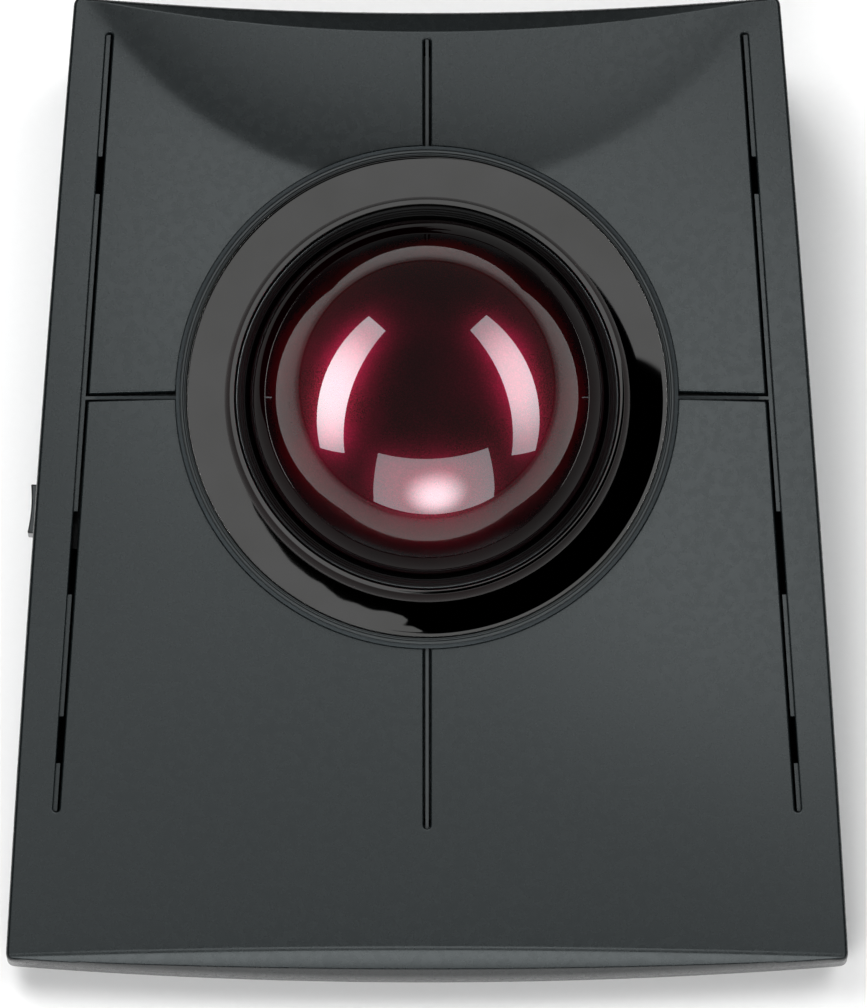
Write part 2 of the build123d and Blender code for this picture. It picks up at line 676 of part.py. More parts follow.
save(
    screw(Plane.XY.offset(FOOT_T + 0.05), LEG_SPOTS + POST_SPOTS, SCREW_HEAD_R, SCREW_HEAD_H, 6.0),
    "housing_screws",
)
board_head = Plane(origin=(0, 0, BOARD_TOP + 1.02), x_dir=(1, 0, 0), z_dir=(0, 0, -1))
save(
    screw(board_head, [(x, -y) for x, y in BOARD_SCREW_SPOTS], 2.0, SCREW_HEAD_H, 4.4),
    "board_screws",
)
cup_head = Plane(origin=RING_PLANE.offset(-5.38).origin, x_dir=(1, 0, 0), z_dir=-RING_PLANE.z_dir)
cup_spots = [(CUP_SCREW_R * cos(a * pi / 180), -CUP_SCREW_R * sin(a * pi / 180)) for a in CUP_SCREW_ANGLES]
save(screw(cup_head.offset(-1.0), cup_spots, 1.3, SCREW_HEAD_H, 4.4), "cup_screws")
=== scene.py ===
"""Looks of a desktop trackball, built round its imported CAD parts.

Lengths are millimetres until a mesh is made, where MM turns them into metres. +Z is up, +Y points to the
back of the device, and heights on the ring are measured from the ball's centre along the ring's axis.
"""

import json
from math import ceil, cos, hypot, pi, radians, sin, tan

import bmesh
import bpy
import numpy as np
from mathutils import Matrix, Vector, kdtree
from mathutils.geometry import delaunay_2d_cdt

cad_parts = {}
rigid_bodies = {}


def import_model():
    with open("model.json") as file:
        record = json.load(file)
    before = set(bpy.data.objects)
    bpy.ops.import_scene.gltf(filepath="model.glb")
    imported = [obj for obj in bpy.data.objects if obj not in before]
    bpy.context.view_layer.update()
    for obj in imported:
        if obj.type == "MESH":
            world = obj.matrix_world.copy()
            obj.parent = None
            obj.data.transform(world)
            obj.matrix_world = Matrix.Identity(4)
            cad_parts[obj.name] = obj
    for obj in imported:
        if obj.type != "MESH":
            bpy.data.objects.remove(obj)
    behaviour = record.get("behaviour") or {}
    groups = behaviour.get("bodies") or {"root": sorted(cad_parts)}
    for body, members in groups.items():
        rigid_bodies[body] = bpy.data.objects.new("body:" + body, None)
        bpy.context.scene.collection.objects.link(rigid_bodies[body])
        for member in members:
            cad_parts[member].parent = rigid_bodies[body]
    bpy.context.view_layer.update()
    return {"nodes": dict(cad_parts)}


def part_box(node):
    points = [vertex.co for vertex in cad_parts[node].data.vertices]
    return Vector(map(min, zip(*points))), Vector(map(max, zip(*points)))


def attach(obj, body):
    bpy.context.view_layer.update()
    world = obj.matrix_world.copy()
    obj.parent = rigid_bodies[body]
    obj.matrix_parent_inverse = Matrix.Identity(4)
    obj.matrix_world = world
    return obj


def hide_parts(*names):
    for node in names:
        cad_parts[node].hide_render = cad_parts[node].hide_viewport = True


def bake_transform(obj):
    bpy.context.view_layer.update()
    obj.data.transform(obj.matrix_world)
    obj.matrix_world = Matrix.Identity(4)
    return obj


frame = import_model()

MM = 0.001

# ---- Places taken from the frame ----
ball_low, ball_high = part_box("trackball")
BALL = (ball_low + ball_high) / 2 / MM
BALL_R = (ball_high.z - ball_low.z) / 2 / MM
knob_low, knob_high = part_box("mode_slider")

# ---- Driving dimensions, the same as the CAD's ----
RING_TILT = radians(7.0)
RING_AXIS = Vector((0, -sin(RING_TILT), cos(RING_TILT)))
RING_BACK = Vector((0, cos(RING_TILT), sin(RING_TILT)))

FRONT_HALF_WIDTH = 65.5
MID_HALF_WIDTH = 60.65
BACK_HALF_WIDTH = 54.7
HALF_DEPTH = 75.0
FRONT_CORNER_Y = -72.3
BACK_CORNER_Y = 75.114
BACK_MIDDLE_Y = 72.8
CORNER_CUT = 1.4

RAMP_START = 22.3  # the deck rises from front to back and eases off over EASE_LENGTH
RAMP_SLOPE = 0.09
RAMP_EASE = 10.5
EASE_LENGTH = 45.0
CROWN_X = 55.0  # the crown is the deck's droop at this distance from the middle
CROWN_FRONT = -0.9
CROWN_SLOPE = -0.04
CROWN_CURVE = 0.0004
DISH_R = 62.0  # the dish behind the ball is bounded by a circle
DISH_Y = 108.0
DISH_SLOPE = 0.05
DISH_STEP = 1.44
DISH_STEP_LENGTH = 12.0
DISH_BLEND = 1.0

DECK_T = 2.4
SKIRT_T = 2.2
SKIRT_DROP = 6.5
SLOT_W = 1.0
SIDE_SLOT_BACK = (49.2, 69.6)
SIDE_SLOT_FRONT = (57.6, -49.7)
CENTRE_SLOT_BACK_Y = 68.5
CENTRE_SLOT_FRONT_Y = -52.5
CENTRE_SLOT_W = 1.1
CROSS_SLOT_Y = 13.7
CROSS_SLOT_W = 1.1
BUTTON_ARC_R = 38.85
PLATE_CORNER = 0.45
HINGE_Y = {"front": -51.0, "back": 69.5}

# ---- Edges of the deck ----
OUTLINE_ROUND = 0.6
OPENING_ROUND = 0.3
CREASE_Y = -70.6  # the front lip starts at this crease, which bows towards the front at its ends
CREASE_BOW = 0.9
CREASE_DEPTH = 0.04
CREASE_WIDTH = 0.22
FACET_SLOPES = (0.17, 0.36)
FOLD_Y = -73.65  # the lip's lower strip starts at this fold, which bows towards the back at its ends
FOLD_BOW = 1.6
LOWER_SLOPE = 1.75
BACK_LINE_Y = 69.5  # the crescent facet along the back edge starts at this line
BACK_LINE_BOW = 5.6
BACK_SLOPE = tan(radians(24))


def deck(x, y):
    """Height of the deck: a ramp that eases off, crowned in front, dished behind the ball."""
    along = y + HALF_DEPTH
    ramp = RAMP_START + RAMP_SLOPE * along - RAMP_EASE * np.exp(-along / EASE_LENGTH)
    crown = (CROWN_FRONT + CROWN_SLOPE * along + CROWN_CURVE * along**2) * (x / CROWN_X) ** 2
    reach = DISH_R - np.hypot(x, y - DISH_Y)
    inside = (reach + np.hypot(reach, DISH_BLEND)) / 2
    dish = DISH_SLOPE * inside + DISH_STEP * (1 - np.exp(-inside / DISH_STEP_LENGTH))
    return ramp + crown + dish


def front_lines(x):
    """The two lines of the front lip, as y at x: the crease at its top and the fold above its lower strip."""
    across = (x / FRONT_HALF_WIDTH) ** 2
    return CREASE_Y - CREASE_BOW * across, FOLD_Y + FOLD_BOW * across


def back_line(x):
    """The line where the crescent facet along the back edge starts."""
    return BACK_LINE_Y + BACK_LINE_BOW * (x / BACK_HALF_WIDTH) ** 2


def surface(x, y):
    """Height of the finished top surface, before its edges are rounded."""
    crease, fold = front_lines(x)
    down = crease - y
    width = crease - fold
    on_facet = np.clip(down, 0, width)
    start, end = FACET_SLOPES
    lip = start * on_facet + (end - start) * on_facet**2 / (2 * width)
    lip = lip + LOWER_SLOPE * np.maximum(down - width, 0)
    groove = CREASE_DEPTH * np.exp(-((down / CREASE_WIDTH) ** 2))
    back = BACK_SLOPE * np.maximum(y - back_line(x), 0)
    return deck(x, y) - lip - groove - back


# ---- Plan curves ----
OUTLINE_SPACING = 1.5
SLOT_SPACING = 1.3
ARC_SPACING = 0.9
MITRE_LIMIT = 0.6  # keeps offsets short at sharp corners
TOUCHING = 1e-4


def arc_through(start, middle, end, spacing):
    """Points of the arc through three points."""
    (x1, y1), (x2, y2), (x3, y3) = start, middle, end
    d = 2 * (x1 * (y2 - y3) + x2 * (y3 - y1) + x3 * (y1 - y2))
    s1, s2, s3 = x1 * x1 + y1 * y1, x2 * x2 + y2 * y2, x3 * x3 + y3 * y3
    cx = (s1 * (y2 - y3) + s2 * (y3 - y1) + s3 * (y1 - y2)) / d
    cy = (s1 * (x3 - x2) + s2 * (x1 - x3) + s3 * (x2 - x1)) / d
    radius = hypot(x1 - cx, y1 - cy)
    a, b = np.arctan2(y1 - cy, x1 - cx), np.arctan2(y3 - cy, x3 - cx)
    turn = (b - a + pi) % (2 * pi) - pi
    angles = a + turn * np.linspace(0, 1, ceil(radius * abs(turn) / spacing) + 1)
    return np.column_stack([cx + radius * np.cos(angles), cy + radius * np.sin(angles)])


def line_between(start, end, spacing):
    """Evenly spaced points from start to end."""
    steps = ceil(hypot(end[0] - start[0], end[1] - start[1]) / spacing)
    return np.linspace(start, end, steps + 1)


def trimmed(points, cut_start, cut_end):
    """A polyline shortened by a length at each end."""
    lengths = np.concatenate([[0], np.cumsum(np.hypot(*np.diff(points, axis=0).T))])
    low, high = cut_start, lengths[-1] - cut_end
    keep = points[(lengths > low + 1e-6) & (lengths < high - 1e-6)]
    ends = [[np.interp(at, lengths, points[:, i]) for i in (0, 1)] for at in (low, high)]
    return np.vstack([ends[0], keep, ends[1]])


def rounded_path(stretches, cut, steps=5, closed=False):
    """Joins stretches that meet at corners, with each corner turned into a smooth bend of length cut."""
    count = len(stretches)
    out = []
    for i, stretch in enumerate(stretches):
        has_before = closed or i > 0
        has_after = closed or i < count - 1
        out.append(trimmed(stretch, cut if has_before else 0, cut if has_after else 0))
        if has_after:
            corner = stretch[-1]
            after = trimmed(stretches[(i + 1) % count], cut, 0)[0]
            before = out[-1][-1]
            t = np.linspace(0, 1, steps + 2)[1:-1, None]
            out.append((1 - t) ** 2 * before + 2 * t * (1 - t) * corner + t**2 * after)
    return np.vstack(out)


def half_circle(start, end, steps=8):
    """The half circle from start to end, turning clockwise, without its two ends."""
    centre = (np.array(start) + np.array(end)) / 2
    arm = np.array(start) - centre
    across = np.array([-arm[1], arm[0]])
    angles = -pi * np.linspace(0, 1, steps + 1)[1:-1]
    return np.array([centre + (arm * cos(a) + across * sin(a)) for a in angles])


def side_slot_x(y):
    """Middle of the right side slot at y."""
    x0, y0 = SIDE_SLOT_BACK
    x1, y1 = SIDE_SLOT_FRONT
    return x0 + (x1 - x0) * (y - y0) / (y1 - y0)


def ring_point(radius, azimuth, height):
    """A point by its distance from the ring's axis, its angle about it and its height along it."""
    across = Vector((1, 0, 0)) * cos(azimuth) + RING_BACK * sin(azimuth)
    return BALL + across * radius + RING_AXIS * height


def ring_on_deck(radius, azimuth):
    """Where a tube of that radius on the ring's axis meets the deck."""
    height = 0.0
    for _ in range(6):
        p = ring_point(radius, azimuth, height)
        height += (float(deck(p.x, p.y)) - p.z) / RING_AXIS.z
    return p.x, p.y


def ring_arc(start, end):
    """The edge of the ring's opening in the deck from one angle to another."""
    steps = ceil(BUTTON_ARC_R * abs(end - start) / ARC_SPACING)
    return np.array([ring_on_deck(BUTTON_ARC_R, a) for a in np.linspace(start, end, steps + 1)])


def outline_loop():
    """The cover's plan outline, counter-clockwise."""
    front_y, back_y = FRONT_CORNER_Y, BACK_CORNER_Y
    corners = [
        (-FRONT_HALF_WIDTH, front_y),
        (FRONT_HALF_WIDTH, front_y),
        (BACK_HALF_WIDTH, back_y),
        (-BACK_HALF_WIDTH, back_y),
    ]
    middles = [(0, -HALF_DEPTH), (MID_HALF_WIDTH, 0), (0, BACK_MIDDLE_Y), (-MID_HALF_WIDTH, 0)]
    stretches = [
        arc_through(corners[i], middles[i], corners[(i + 1) % 4], OUTLINE_SPACING) for i in range(4)
    ]
    return rounded_path(stretches, CORNER_CUT, closed=True)


def opening_loop():
    """The edge of the slots and the ring's hole, which are one opening.

    It starts at the front slot's tip and runs counter-clockwise.
    """
    half = CENTRE_SLOT_W / 2
    low_y, high_y = CROSS_SLOT_Y - CROSS_SLOT_W / 2, CROSS_SLOT_Y + CROSS_SLOT_W / 2
    slot_angle = half / BUTTON_ARC_R
    low_angle = (low_y - BALL.y) / BUTTON_ARC_R
    high_angle = (high_y - BALL.y) / BUTTON_ARC_R
    front_arc = ring_arc(-pi / 2 + slot_angle, low_angle)
    back_arc = ring_arc(high_angle, pi / 2 - slot_angle)

    def inner(y):
        """The side slot's edge nearer to the middle."""
        return side_slot_x(y) - SLOT_W / 2, y

    def outer(y):
        """The side slot's edge farther from the middle."""
        return side_slot_x(y) + SLOT_W / 2, y

    front_y = SIDE_SLOT_FRONT[1] + SLOT_W / 2
    back_y = SIDE_SLOT_BACK[1] - SLOT_W / 2
    front_start = (half, CENTRE_SLOT_FRONT_Y + half)
    back_end = (half, CENTRE_SLOT_BACK_Y - half)
    front_plate = rounded_path(
        [
            line_between(front_start, front_arc[0], SLOT_SPACING),
            front_arc,
            line_between(front_arc[-1], inner(low_y), SLOT_SPACING),
            line_between(inner(low_y), inner(front_y), SLOT_SPACING),
        ],
        PLATE_CORNER,
    )
    back_plate = rounded_path(
        [
            line_between(inner(back_y), inner(high_y), SLOT_SPACING),
            line_between(inner(high_y), back_arc[0], SLOT_SPACING),
            back_arc,
            line_between(back_arc[-1], back_end, SLOT_SPACING),
        ],
        PLATE_CORNER,
    )
    right = np.vstack(
        [
            front_plate,
            half_circle(outer(front_y), inner(front_y))[::-1],
            line_between(outer(front_y), outer(back_y), SLOT_SPACING),
            half_circle(inner(back_y), outer(back_y))[::-1],
            back_plate,
        ]
    )
    back_tip = half_circle((-half, back_end[1]), (half, back_end[1]))[::-1]
    left = right[::-1] * [-1, 1]
    front_tip = half_circle((half, front_start[1]), (-half, front_start[1]))[::-1]
    return np.vstack([right, back_tip, left, front_tip])


def loop_normals(loop):
    """Unit normals on the left of a loop's direction of travel, with the mitre length that offsets need."""
    before = loop - np.roll(loop, 1, axis=0)
    after = np.roll(loop, -1, axis=0) - loop
    before = before / np.hypot(*before.T)[:, None]
    after = after / np.hypot(*after.T)[:, None]
    tangent = before + after
    tangent = tangent / np.hypot(*tangent.T)[:, None]
    normal = np.column_stack([-tangent[:, 1], tangent[:, 0]])
    mitre = 1 / np.clip((tangent * after).sum(axis=1), MITRE_LIMIT, 1)
    return normal, mitre


class Rim:
    """A closed edge of the deck, rounded to a radius; side is +1 where the deck is on the loop's left."""

    def __init__(self, loop, radius, side):
        self.loop = loop
        self.radius = radius
        normal, self.mitre = loop_normals(loop)
        self.normal = side * normal
        self.tree = kdtree.KDTree(len(loop))
        for i, (x, y) in enumerate(loop):
            self.tree.insert((x, y, 0), i)
        self.tree.balance()

    def offset(self, distance):
        """The loop moved onto the deck by a distance."""
        return self.loop + self.normal * (distance * self.mitre)[:, None]

    def nearest(self, point):
        """Distance from the edge, and the direction away from it."""
        i = self.tree.find((point[0], point[1], 0))[1]
        best, away = None, None
        for a, b in ((i - 1, i), (i, (i + 1) % len(self.loop))):
            start, end = self.loop[a], self.loop[b]
            span = end - start
            t = min(1, max(0, float((point - start) @ span / (span @ span))))
            gap = point - (start + span * t)
            distance = hypot(*gap)
            if best is None or distance < best:
                best, away = distance, gap
        if best < TOUCHING:
            return 0.0, self.normal[i]
        return best, away / best


# ---- The deck's triangles ----
# Distances from the two rims, or from the crease and the back line, at which the mesh has a line of points.
OUTLINE_STEPS = (0, 0.05, 0.15, 0.33, OUTLINE_ROUND, SKIRT_T)
OPENING_STEPS = (0, 0.03, 0.09, 0.18, OPENING_ROUND)
CREASE_STEPS = (1.6, 0.8, 0.4, 0.2, 0, -0.2, -0.4)
FACET_SHARES = (0.35, 0.65)
FOLD_STEPS = (0.12, -0.12)
BACK_STEPS = (-0.5, -0.12, 0.12, 1.0, 2.0)
BACK_LINE_END = 4.0
DISH_STEPS = (-4.5, -3.0, -1.8, -0.6, 0.6, 1.8, 3.0, 4.5)
DISH_SPACING = 1.6
DISH_START, DISH_END = radians(200), radians(341)
GRID = 2.4
GRID_ROW = GRID * 0.866  # the rows of a grid of equilateral triangles
GRID_FRONT_Y, GRID_BACK_Y = -67.5, 76
GRID_HALF_WIDTH = 66
LIP_POINTS, BACK_POINTS = 96, 80
OUTLINE_MARGIN = 1.0
OPENING_MARGIN = 0.8
SEAM_SPACING = 1.5

outline = Rim(outline_loop(), OUTLINE_ROUND, 1)
opening = Rim(opening_loop(), OPENING_ROUND, -1)

plan_points = []
plan_edges = []


def add_line(points, closed=False):
    """Adds a line of points that the triangles have to keep as edges."""
    first = len(plan_points)
    plan_points.extend(Vector((float(x), float(y))) for x, y in points)
    count = len(points)
    plan_edges.extend((first + i, first + (i + 1) % count) for i in range(count if closed else count - 1))


for distance in OUTLINE_STEPS:
    add_line(outline.offset(distance), closed=True)
for distance in OPENING_STEPS:
    add_line(opening.offset(distance), closed=True)

tip_x = {"front": side_slot_x(SIDE_SLOT_FRONT[1]), "back": side_slot_x(SIDE_SLOT_BACK[1])}
tip_y = {"front": SIDE_SLOT_FRONT[1], "back": SIDE_SLOT_BACK[1]}
centre_tip_y = {"front": CENTRE_SLOT_FRONT_Y, "back": CENTRE_SLOT_BACK_Y}


def tip_vertex(x, y):
    """The point of the opening's edge nearest to a slot's tip."""
    return opening.loop[opening.tree.find((x, y, 0))[1]]


for end in ("front", "back"):
    for side in (-1, 1):
        centre_tip = tip_vertex(0, centre_tip_y[end])
        side_tip = tip_vertex(side * tip_x[end], tip_y[end])
        add_line(line_between(centre_tip, side_tip, SEAM_SPACING))

lip_x = np.linspace(-FRONT_HALF_WIDTH, FRONT_HALF_WIDTH, LIP_POINTS)
crease_y, fold_y = front_lines(lip_x)
edge_y = -HALF_DEPTH + (HALF_DEPTH + FRONT_CORNER_Y) * (lip_x / FRONT_HALF_WIDTH) ** 2
for rise in CREASE_STEPS:
    add_line(np.column_stack([lip_x, crease_y + rise]))
for share in FACET_SHARES:
    add_line(np.column_stack([lip_x, crease_y + share * (fold_y - crease_y)]))
for rise in FOLD_STEPS:
    add_line(np.column_stack([lip_x, fold_y + rise]))
add_line(np.column_stack([lip_x, (fold_y + edge_y) / 2]))
back_end_x = BACK_HALF_WIDTH - BACK_LINE_END
back_x = np.linspace(-back_end_x, back_end_x, BACK_POINTS)
for rise in BACK_STEPS:
    add_line(np.column_stack([back_x, back_line(back_x) + rise]))

# A grid of points all over the deck, and arcs of points along the dish's boundary.
scattered = []
for row, y in enumerate(np.arange(GRID_FRONT_Y, GRID_BACK_Y, GRID_ROW)):
    for x in np.arange(-GRID_HALF_WIDTH, GRID_HALF_WIDTH, GRID) + (GRID / 2 if row % 2 else 0):
        scattered.append((x, y))
for spread in DISH_STEPS:
    for a in np.arange(DISH_START, DISH_END, DISH_SPACING / DISH_R):
        scattered.append(((DISH_R + spread) * cos(a), DISH_Y + (DISH_R + spread) * sin(a)))
for x, y in scattered:
    point = np.array([x, y])
    inside = outline.nearest(point)[0] > OUTLINE_MARGIN and y < back_line(x) - OPENING_MARGIN
    if inside and opening.nearest(point)[0] > OPENING_MARGIN:
        plan_points.append(Vector((x, y)))

made = delaunay_2d_cdt(plan_points, plan_edges, [], 0, 1e-5)
plan = np.array([(v.x, v.y) for v in made[0]])
triangles = np.array(made[2])


def within(points, loop):
    """Which points lie inside a closed loop."""
    x, y = points.T
    hit = np.zeros(len(points), bool)
    for (x0, y0), (x1, y1) in zip(loop, np.roll(loop, -1, axis=0)):
        if y0 != y1:
            crosses = (y0 > y) != (y1 > y)
            hit ^= crosses & (x < (x1 - x0) * (y - y0) / (y1 - y0) + x0)
    return hit


middles = plan[triangles].mean(axis=1)
a, b, c = (plan[triangles[:, i]] for i in range(3))
area = (b[:, 0] - a[:, 0]) * (c[:, 1] - a[:, 1]) - (b[:, 1] - a[:, 1]) * (c[:, 0] - a[:, 0])
triangles[area < 0] = triangles[area < 0][:, ::-1]
on_deck = within(middles, outline.loop) & ~within(middles, opening.loop) & (np.abs(area) > 1e-9)
triangles, middles = triangles[on_deck], middles[on_deck]
in_border = ~within(middles, outline.offset(SKIRT_T))


def seam_y(x, end):
    """The hinge seam between a button plate and the cover: a straight line between two slot tips."""
    share = abs(x) / tip_x[end]
    return centre_tip_y[end] + (tip_y[end] - centre_tip_y[end]) * share


def plate_of(x, y):
    """Name of the button plate that a point of the deck belongs to, or the cover's."""
    if abs(x) > side_slot_x(y) or y < seam_y(x, "front") or y > seam_y(x, "back"):
        return "top_cover"
    end = "front" if y < CROSS_SLOT_Y else "back"
    return f"button_{end}_{'left' if x < 0 else 'right'}"


owner = np.array([plate_of(x, y) for x, y in middles])

# Heights and normals of the top surface, with both rims rounded.
STEP = 0.01
ON_RIM = 0.01
THINNEST_EDGE = 0.1
RIM_AGREES = 0.3  # how far a rim's normal has to face a wall's way to be used for it
px, py = plan.T
top_z = surface(px, py)
slope_x = (surface(px + STEP, py) - surface(px - STEP, py)) / (2 * STEP)
slope_y = (surface(px, py + STEP) - surface(px, py - STEP)) / (2 * STEP)
top_normal = np.column_stack([-slope_x, -slope_y, np.ones(len(plan))])
top_normal /= np.linalg.norm(top_normal, axis=1)[:, None]
under_normal = -top_normal.copy()
edge_normal = {}
for i, point in enumerate(plan):
    for rim in (outline, opening):
        distance, away = rim.nearest(point)
        if distance < rim.radius:
            left = rim.radius - distance
            height = np.sqrt(max(rim.radius**2 - left**2, 0))
            top_z[i] -= rim.radius - height
            outward = np.array([-away[0], -away[1], 0])
            turned = top_normal[i] * height + outward * left
            top_normal[i] = turned / np.linalg.norm(turned)
            if distance < ON_RIM:
                edge_normal[i] = outward
under_z = deck(px, py) - DECK_T
skirt_z = np.minimum(deck(px, py) - SKIRT_DROP, top_z - THINNEST_EDGE)


# ---- Making objects ----
def link(name, mesh, material):
    """An object of the mesh, in the scene."""
    mesh.materials.append(material)
    obj = bpy.data.objects.new(name, mesh)
    bpy.context.scene.collection.objects.link(obj)
    return obj


def piece(name, verts, faces, material, sharp=40):
    """A mesh object from millimetre vertices, smooth but for edges sharper than an angle in degrees."""
    mesh = bpy.data.meshes.new(name)
    mesh.from_pydata([[c * MM for c in v] for v in verts], [], faces)
    mesh.polygons.foreach_set("use_smooth", [True] * len(mesh.polygons))
    mesh.set_sharp_from_angle(angle=radians(sharp))
    mesh.update()
    return link(name, mesh, material)


def deck_piece(name, material):
    """One closed solid from the deck triangles that belong to it: top, underside, walls and skirt."""
    mine = owner == name
    tris, border = triangles[mine], in_border[mine]
    index, verts, faces, normals = {}, [], [], []
    heights = {"top": top_z, "under": under_z, "skirt": skirt_z}

    def corner(level, i):
        """Index of the vertex at a plan point on the top, the underside or the skirt's foot."""
        if (level, i) not in index:
            index[level, i] = len(verts)
            verts.append((px[i] * MM, py[i] * MM, heights[level][i] * MM))
        return index[level, i]

    def wall(i, j, upper, lower):
        """The upright face below one edge of a triangle, with the rim's normals where it is on a rim."""
        run = plan[j] - plan[i]
        flat = np.array([run[1], -run[0], 0]) / max(hypot(*run), 1e-9)
        at_i, at_j = edge_normal.get(i, flat), edge_normal.get(j, flat)
        if upper != "top" or flat @ at_i < RIM_AGREES or flat @ at_j < RIM_AGREES:
            at_i, at_j = flat, flat
        faces.append((corner(upper, i), corner(lower, i), corner(lower, j), corner(upper, j)))
        normals.extend([at_i, at_i, at_j, at_j])

    sides = {}
    for t, rim_face in zip(tris, border):
        for i, j in ((t[0], t[1]), (t[1], t[2]), (t[2], t[0])):
            sides[int(i), int(j)] = bool(rim_face)
    for t, rim_face in zip(tris, border):
        level = "skirt" if rim_face else "under"
        faces.append(tuple(corner("top", int(i)) for i in t))
        normals.extend(top_normal[i] for i in t)
        faces.append(tuple(corner(level, int(i)) for i in t[::-1]))
        normals.extend(under_normal[i] for i in t[::-1])
    for (i, j), rim_face in sides.items():
        level = "skirt" if rim_face else "under"
        if (j, i) not in sides:
            wall(i, j, "top", level)
        elif rim_face and not sides[j, i]:
            wall(i, j, "under", "skirt")
    mesh = bpy.data.meshes.new(name)
    mesh.from_pydata(verts, [], faces)
    mesh.polygons.foreach_set("use_smooth", [True] * len(mesh.polygons))
    mesh.normals_split_custom_set([tuple(n) for n in normals])
    mesh.update()
    return link(f"{name}_shell", mesh, material)


def revolved(name, profile, material, steps=240, sharp=40):
    """A ring about the ring's axis from a closed profile of (radius, height) points."""
    count = len(profile)
    verts = [ring_point(r, 2 * pi * s / steps, h) for s in range(steps) for r, h in profile]
    faces = []
    for s in range(steps):
        for k in range(count):
            a, b = s * count + k, s * count + (k + 1) % count
            shift = count if s < steps - 1 else count - steps * count
            faces.append((a, a + shift, b + shift, b))
    return piece(name, verts, faces, material, sharp)


def softened(corners, steps=4):
    """A closed profile from (radius, height, rounding) corners; a rounding is the length of its bend."""
    points = []
    count = len(corners)
    for k, (r, h, cut) in enumerate(corners):
        here = np.array([r, h])
        if not cut:
            points.append(here)
            continue
        ends = []
        for other in (corners[k - 1], corners[(k + 1) % count]):
            way = np.array(other[:2]) - here
            ends.append(here + way * min(0.49, cut / max(hypot(*way), 1e-9)))
        for t in np.linspace(0, 1, steps + 1):
            points.append((1 - t) ** 2 * ends[0] + 2 * t * (1 - t) * here + t**2 * ends[1])
    return points


def ribbon(name, runs, material, top_drop, thickness):
    """Strips that follow the deck below its surface; each run is (left points, right points)."""
    verts, faces = [], []
    for left, right in runs:
        first, count = len(verts), len(left)
        for drop in (top_drop, top_drop + thickness):
            for line in (left, right):
                verts.extend((x, y, float(deck(x, y)) - drop) for x, y in line)
        tl, tr, bl, br = (first + k * count for k in range(4))
        for i in range(count - 1):
            for a, b in ((tl, tr), (tr, br), (br, bl), (bl, tl)):
                faces.append((a + i, b + i, b + i + 1, a + i + 1))
        faces.append((tl, bl, br, tr))
        end = count - 1
        faces.append((tr + end, br + end, bl + end, tl + end))
    obj = piece(name, verts, faces, material)
    tidy = bmesh.new()
    tidy.from_mesh(obj.data)
    bmesh.ops.recalc_face_normals(tidy, faces=tidy.faces)
    tidy.to_mesh(obj.data)
    tidy.free()
    return obj


# ---- Materials ----
def material(name, color, roughness, metallic=0.0, specular=0.5, coat=0.0, coat_roughness=0.03):
    """A material whose shader has these plain values, before anything is wired to it."""
    mat = bpy.data.materials.new(name)
    mat.use_nodes = True
    shader = mat.node_tree.nodes["Principled BSDF"]
    shader.inputs["Base Color"].default_value = (*color, 1)
    shader.inputs["Roughness"].default_value = roughness
    shader.inputs["Metallic"].default_value = metallic
    shader.inputs["Specular IOR Level"].default_value = specular
    shader.inputs["Coat Weight"].default_value = coat
    shader.inputs["Coat Roughness"].default_value = coat_roughness
    return mat


def node(mat, kind, inputs=(), **settings):
    """A new node; each input is a value, or a socket to link from."""
    made_node = mat.node_tree.nodes.new(kind)
    for key, value in settings.items():
        setattr(made_node, key, value)
    for key, value in dict(inputs).items():
        socket = made_node.inputs[key]
        if isinstance(value, bpy.types.NodeSocket):
            mat.node_tree.links.new(value, socket)
        else:
            socket.default_value = value
    return made_node


def noise(mat, scale, detail):
    """A noise texture in the object's own space; scale is in features per metre."""
    place = node(mat, "ShaderNodeTexCoord").outputs["Object"]
    return node(mat, "ShaderNodeTexNoise", {"Vector": place, "Scale": scale, "Detail": detail})


def maths(mat, operation, *values):
    """The result of an operation on values or sockets."""
    return node(mat, "ShaderNodeMath", dict(enumerate(values)), operation=operation).outputs[0]


def mapped(mat, value, start, end, low=0.0, high=1.0, shape="LINEAR"):
    """A value that runs from low to high as another runs from start to end."""
    inputs = {"Value": value, "From Min": start, "From Max": end, "To Min": low, "To Max": high}
    return node(mat, "ShaderNodeMapRange", inputs, interpolation_type=shape).outputs["Result"]


def between(mat, factor, low, high, start=0.3, end=0.7):
    """A colour or grey that runs from low to high as a factor runs from start to end."""
    ramp = node(mat, "ShaderNodeValToRGB", {"Fac": factor})
    ramp.color_ramp.elements[0].position = start
    ramp.color_ramp.elements[1].position = end
    for element, value in zip(ramp.color_ramp.elements, (low, high)):
        element.color = (*value, 1) if isinstance(value, tuple) else (value, value, value, 1)
    return ramp.outputs["Color"]


def wire(mat, socket, output):
    """Links an output to one of the shader's sockets."""
    mat.node_tree.links.new(output, mat.node_tree.nodes["Principled BSDF"].inputs[socket])


def add_bump(mat, height, strength, distance):
    """Relief of the surface; the distance is in metres."""
    bump = node(mat, "ShaderNodeBump", {"Height": height, "Strength": strength, "Distance": distance})
    wire(mat, "Normal", bump.outputs["Normal"])


def moulded(name, color, roughness, grain=2500, spread=0.15, bump=0.15, **more):
    """Moulded plastic or rubber: fine grain in its colour, its roughness and its surface."""
    mat = material(name, color, roughness, **more)
    fine = noise(mat, grain, 3).outputs["Fac"]
    broad = noise(mat, 60, 2).outputs["Fac"]
    dark = tuple(c * (1 - spread) for c in color)
    light = tuple(c * (1 + spread) for c in color)
    wire(mat, "Base Color", between(mat, fine, dark, light))
    wire(mat, "Roughness", between(mat, broad, roughness * 0.93, min(1, roughness * 1.07)))
    add_bump(mat, fine, bump, 0.00003)
    return mat


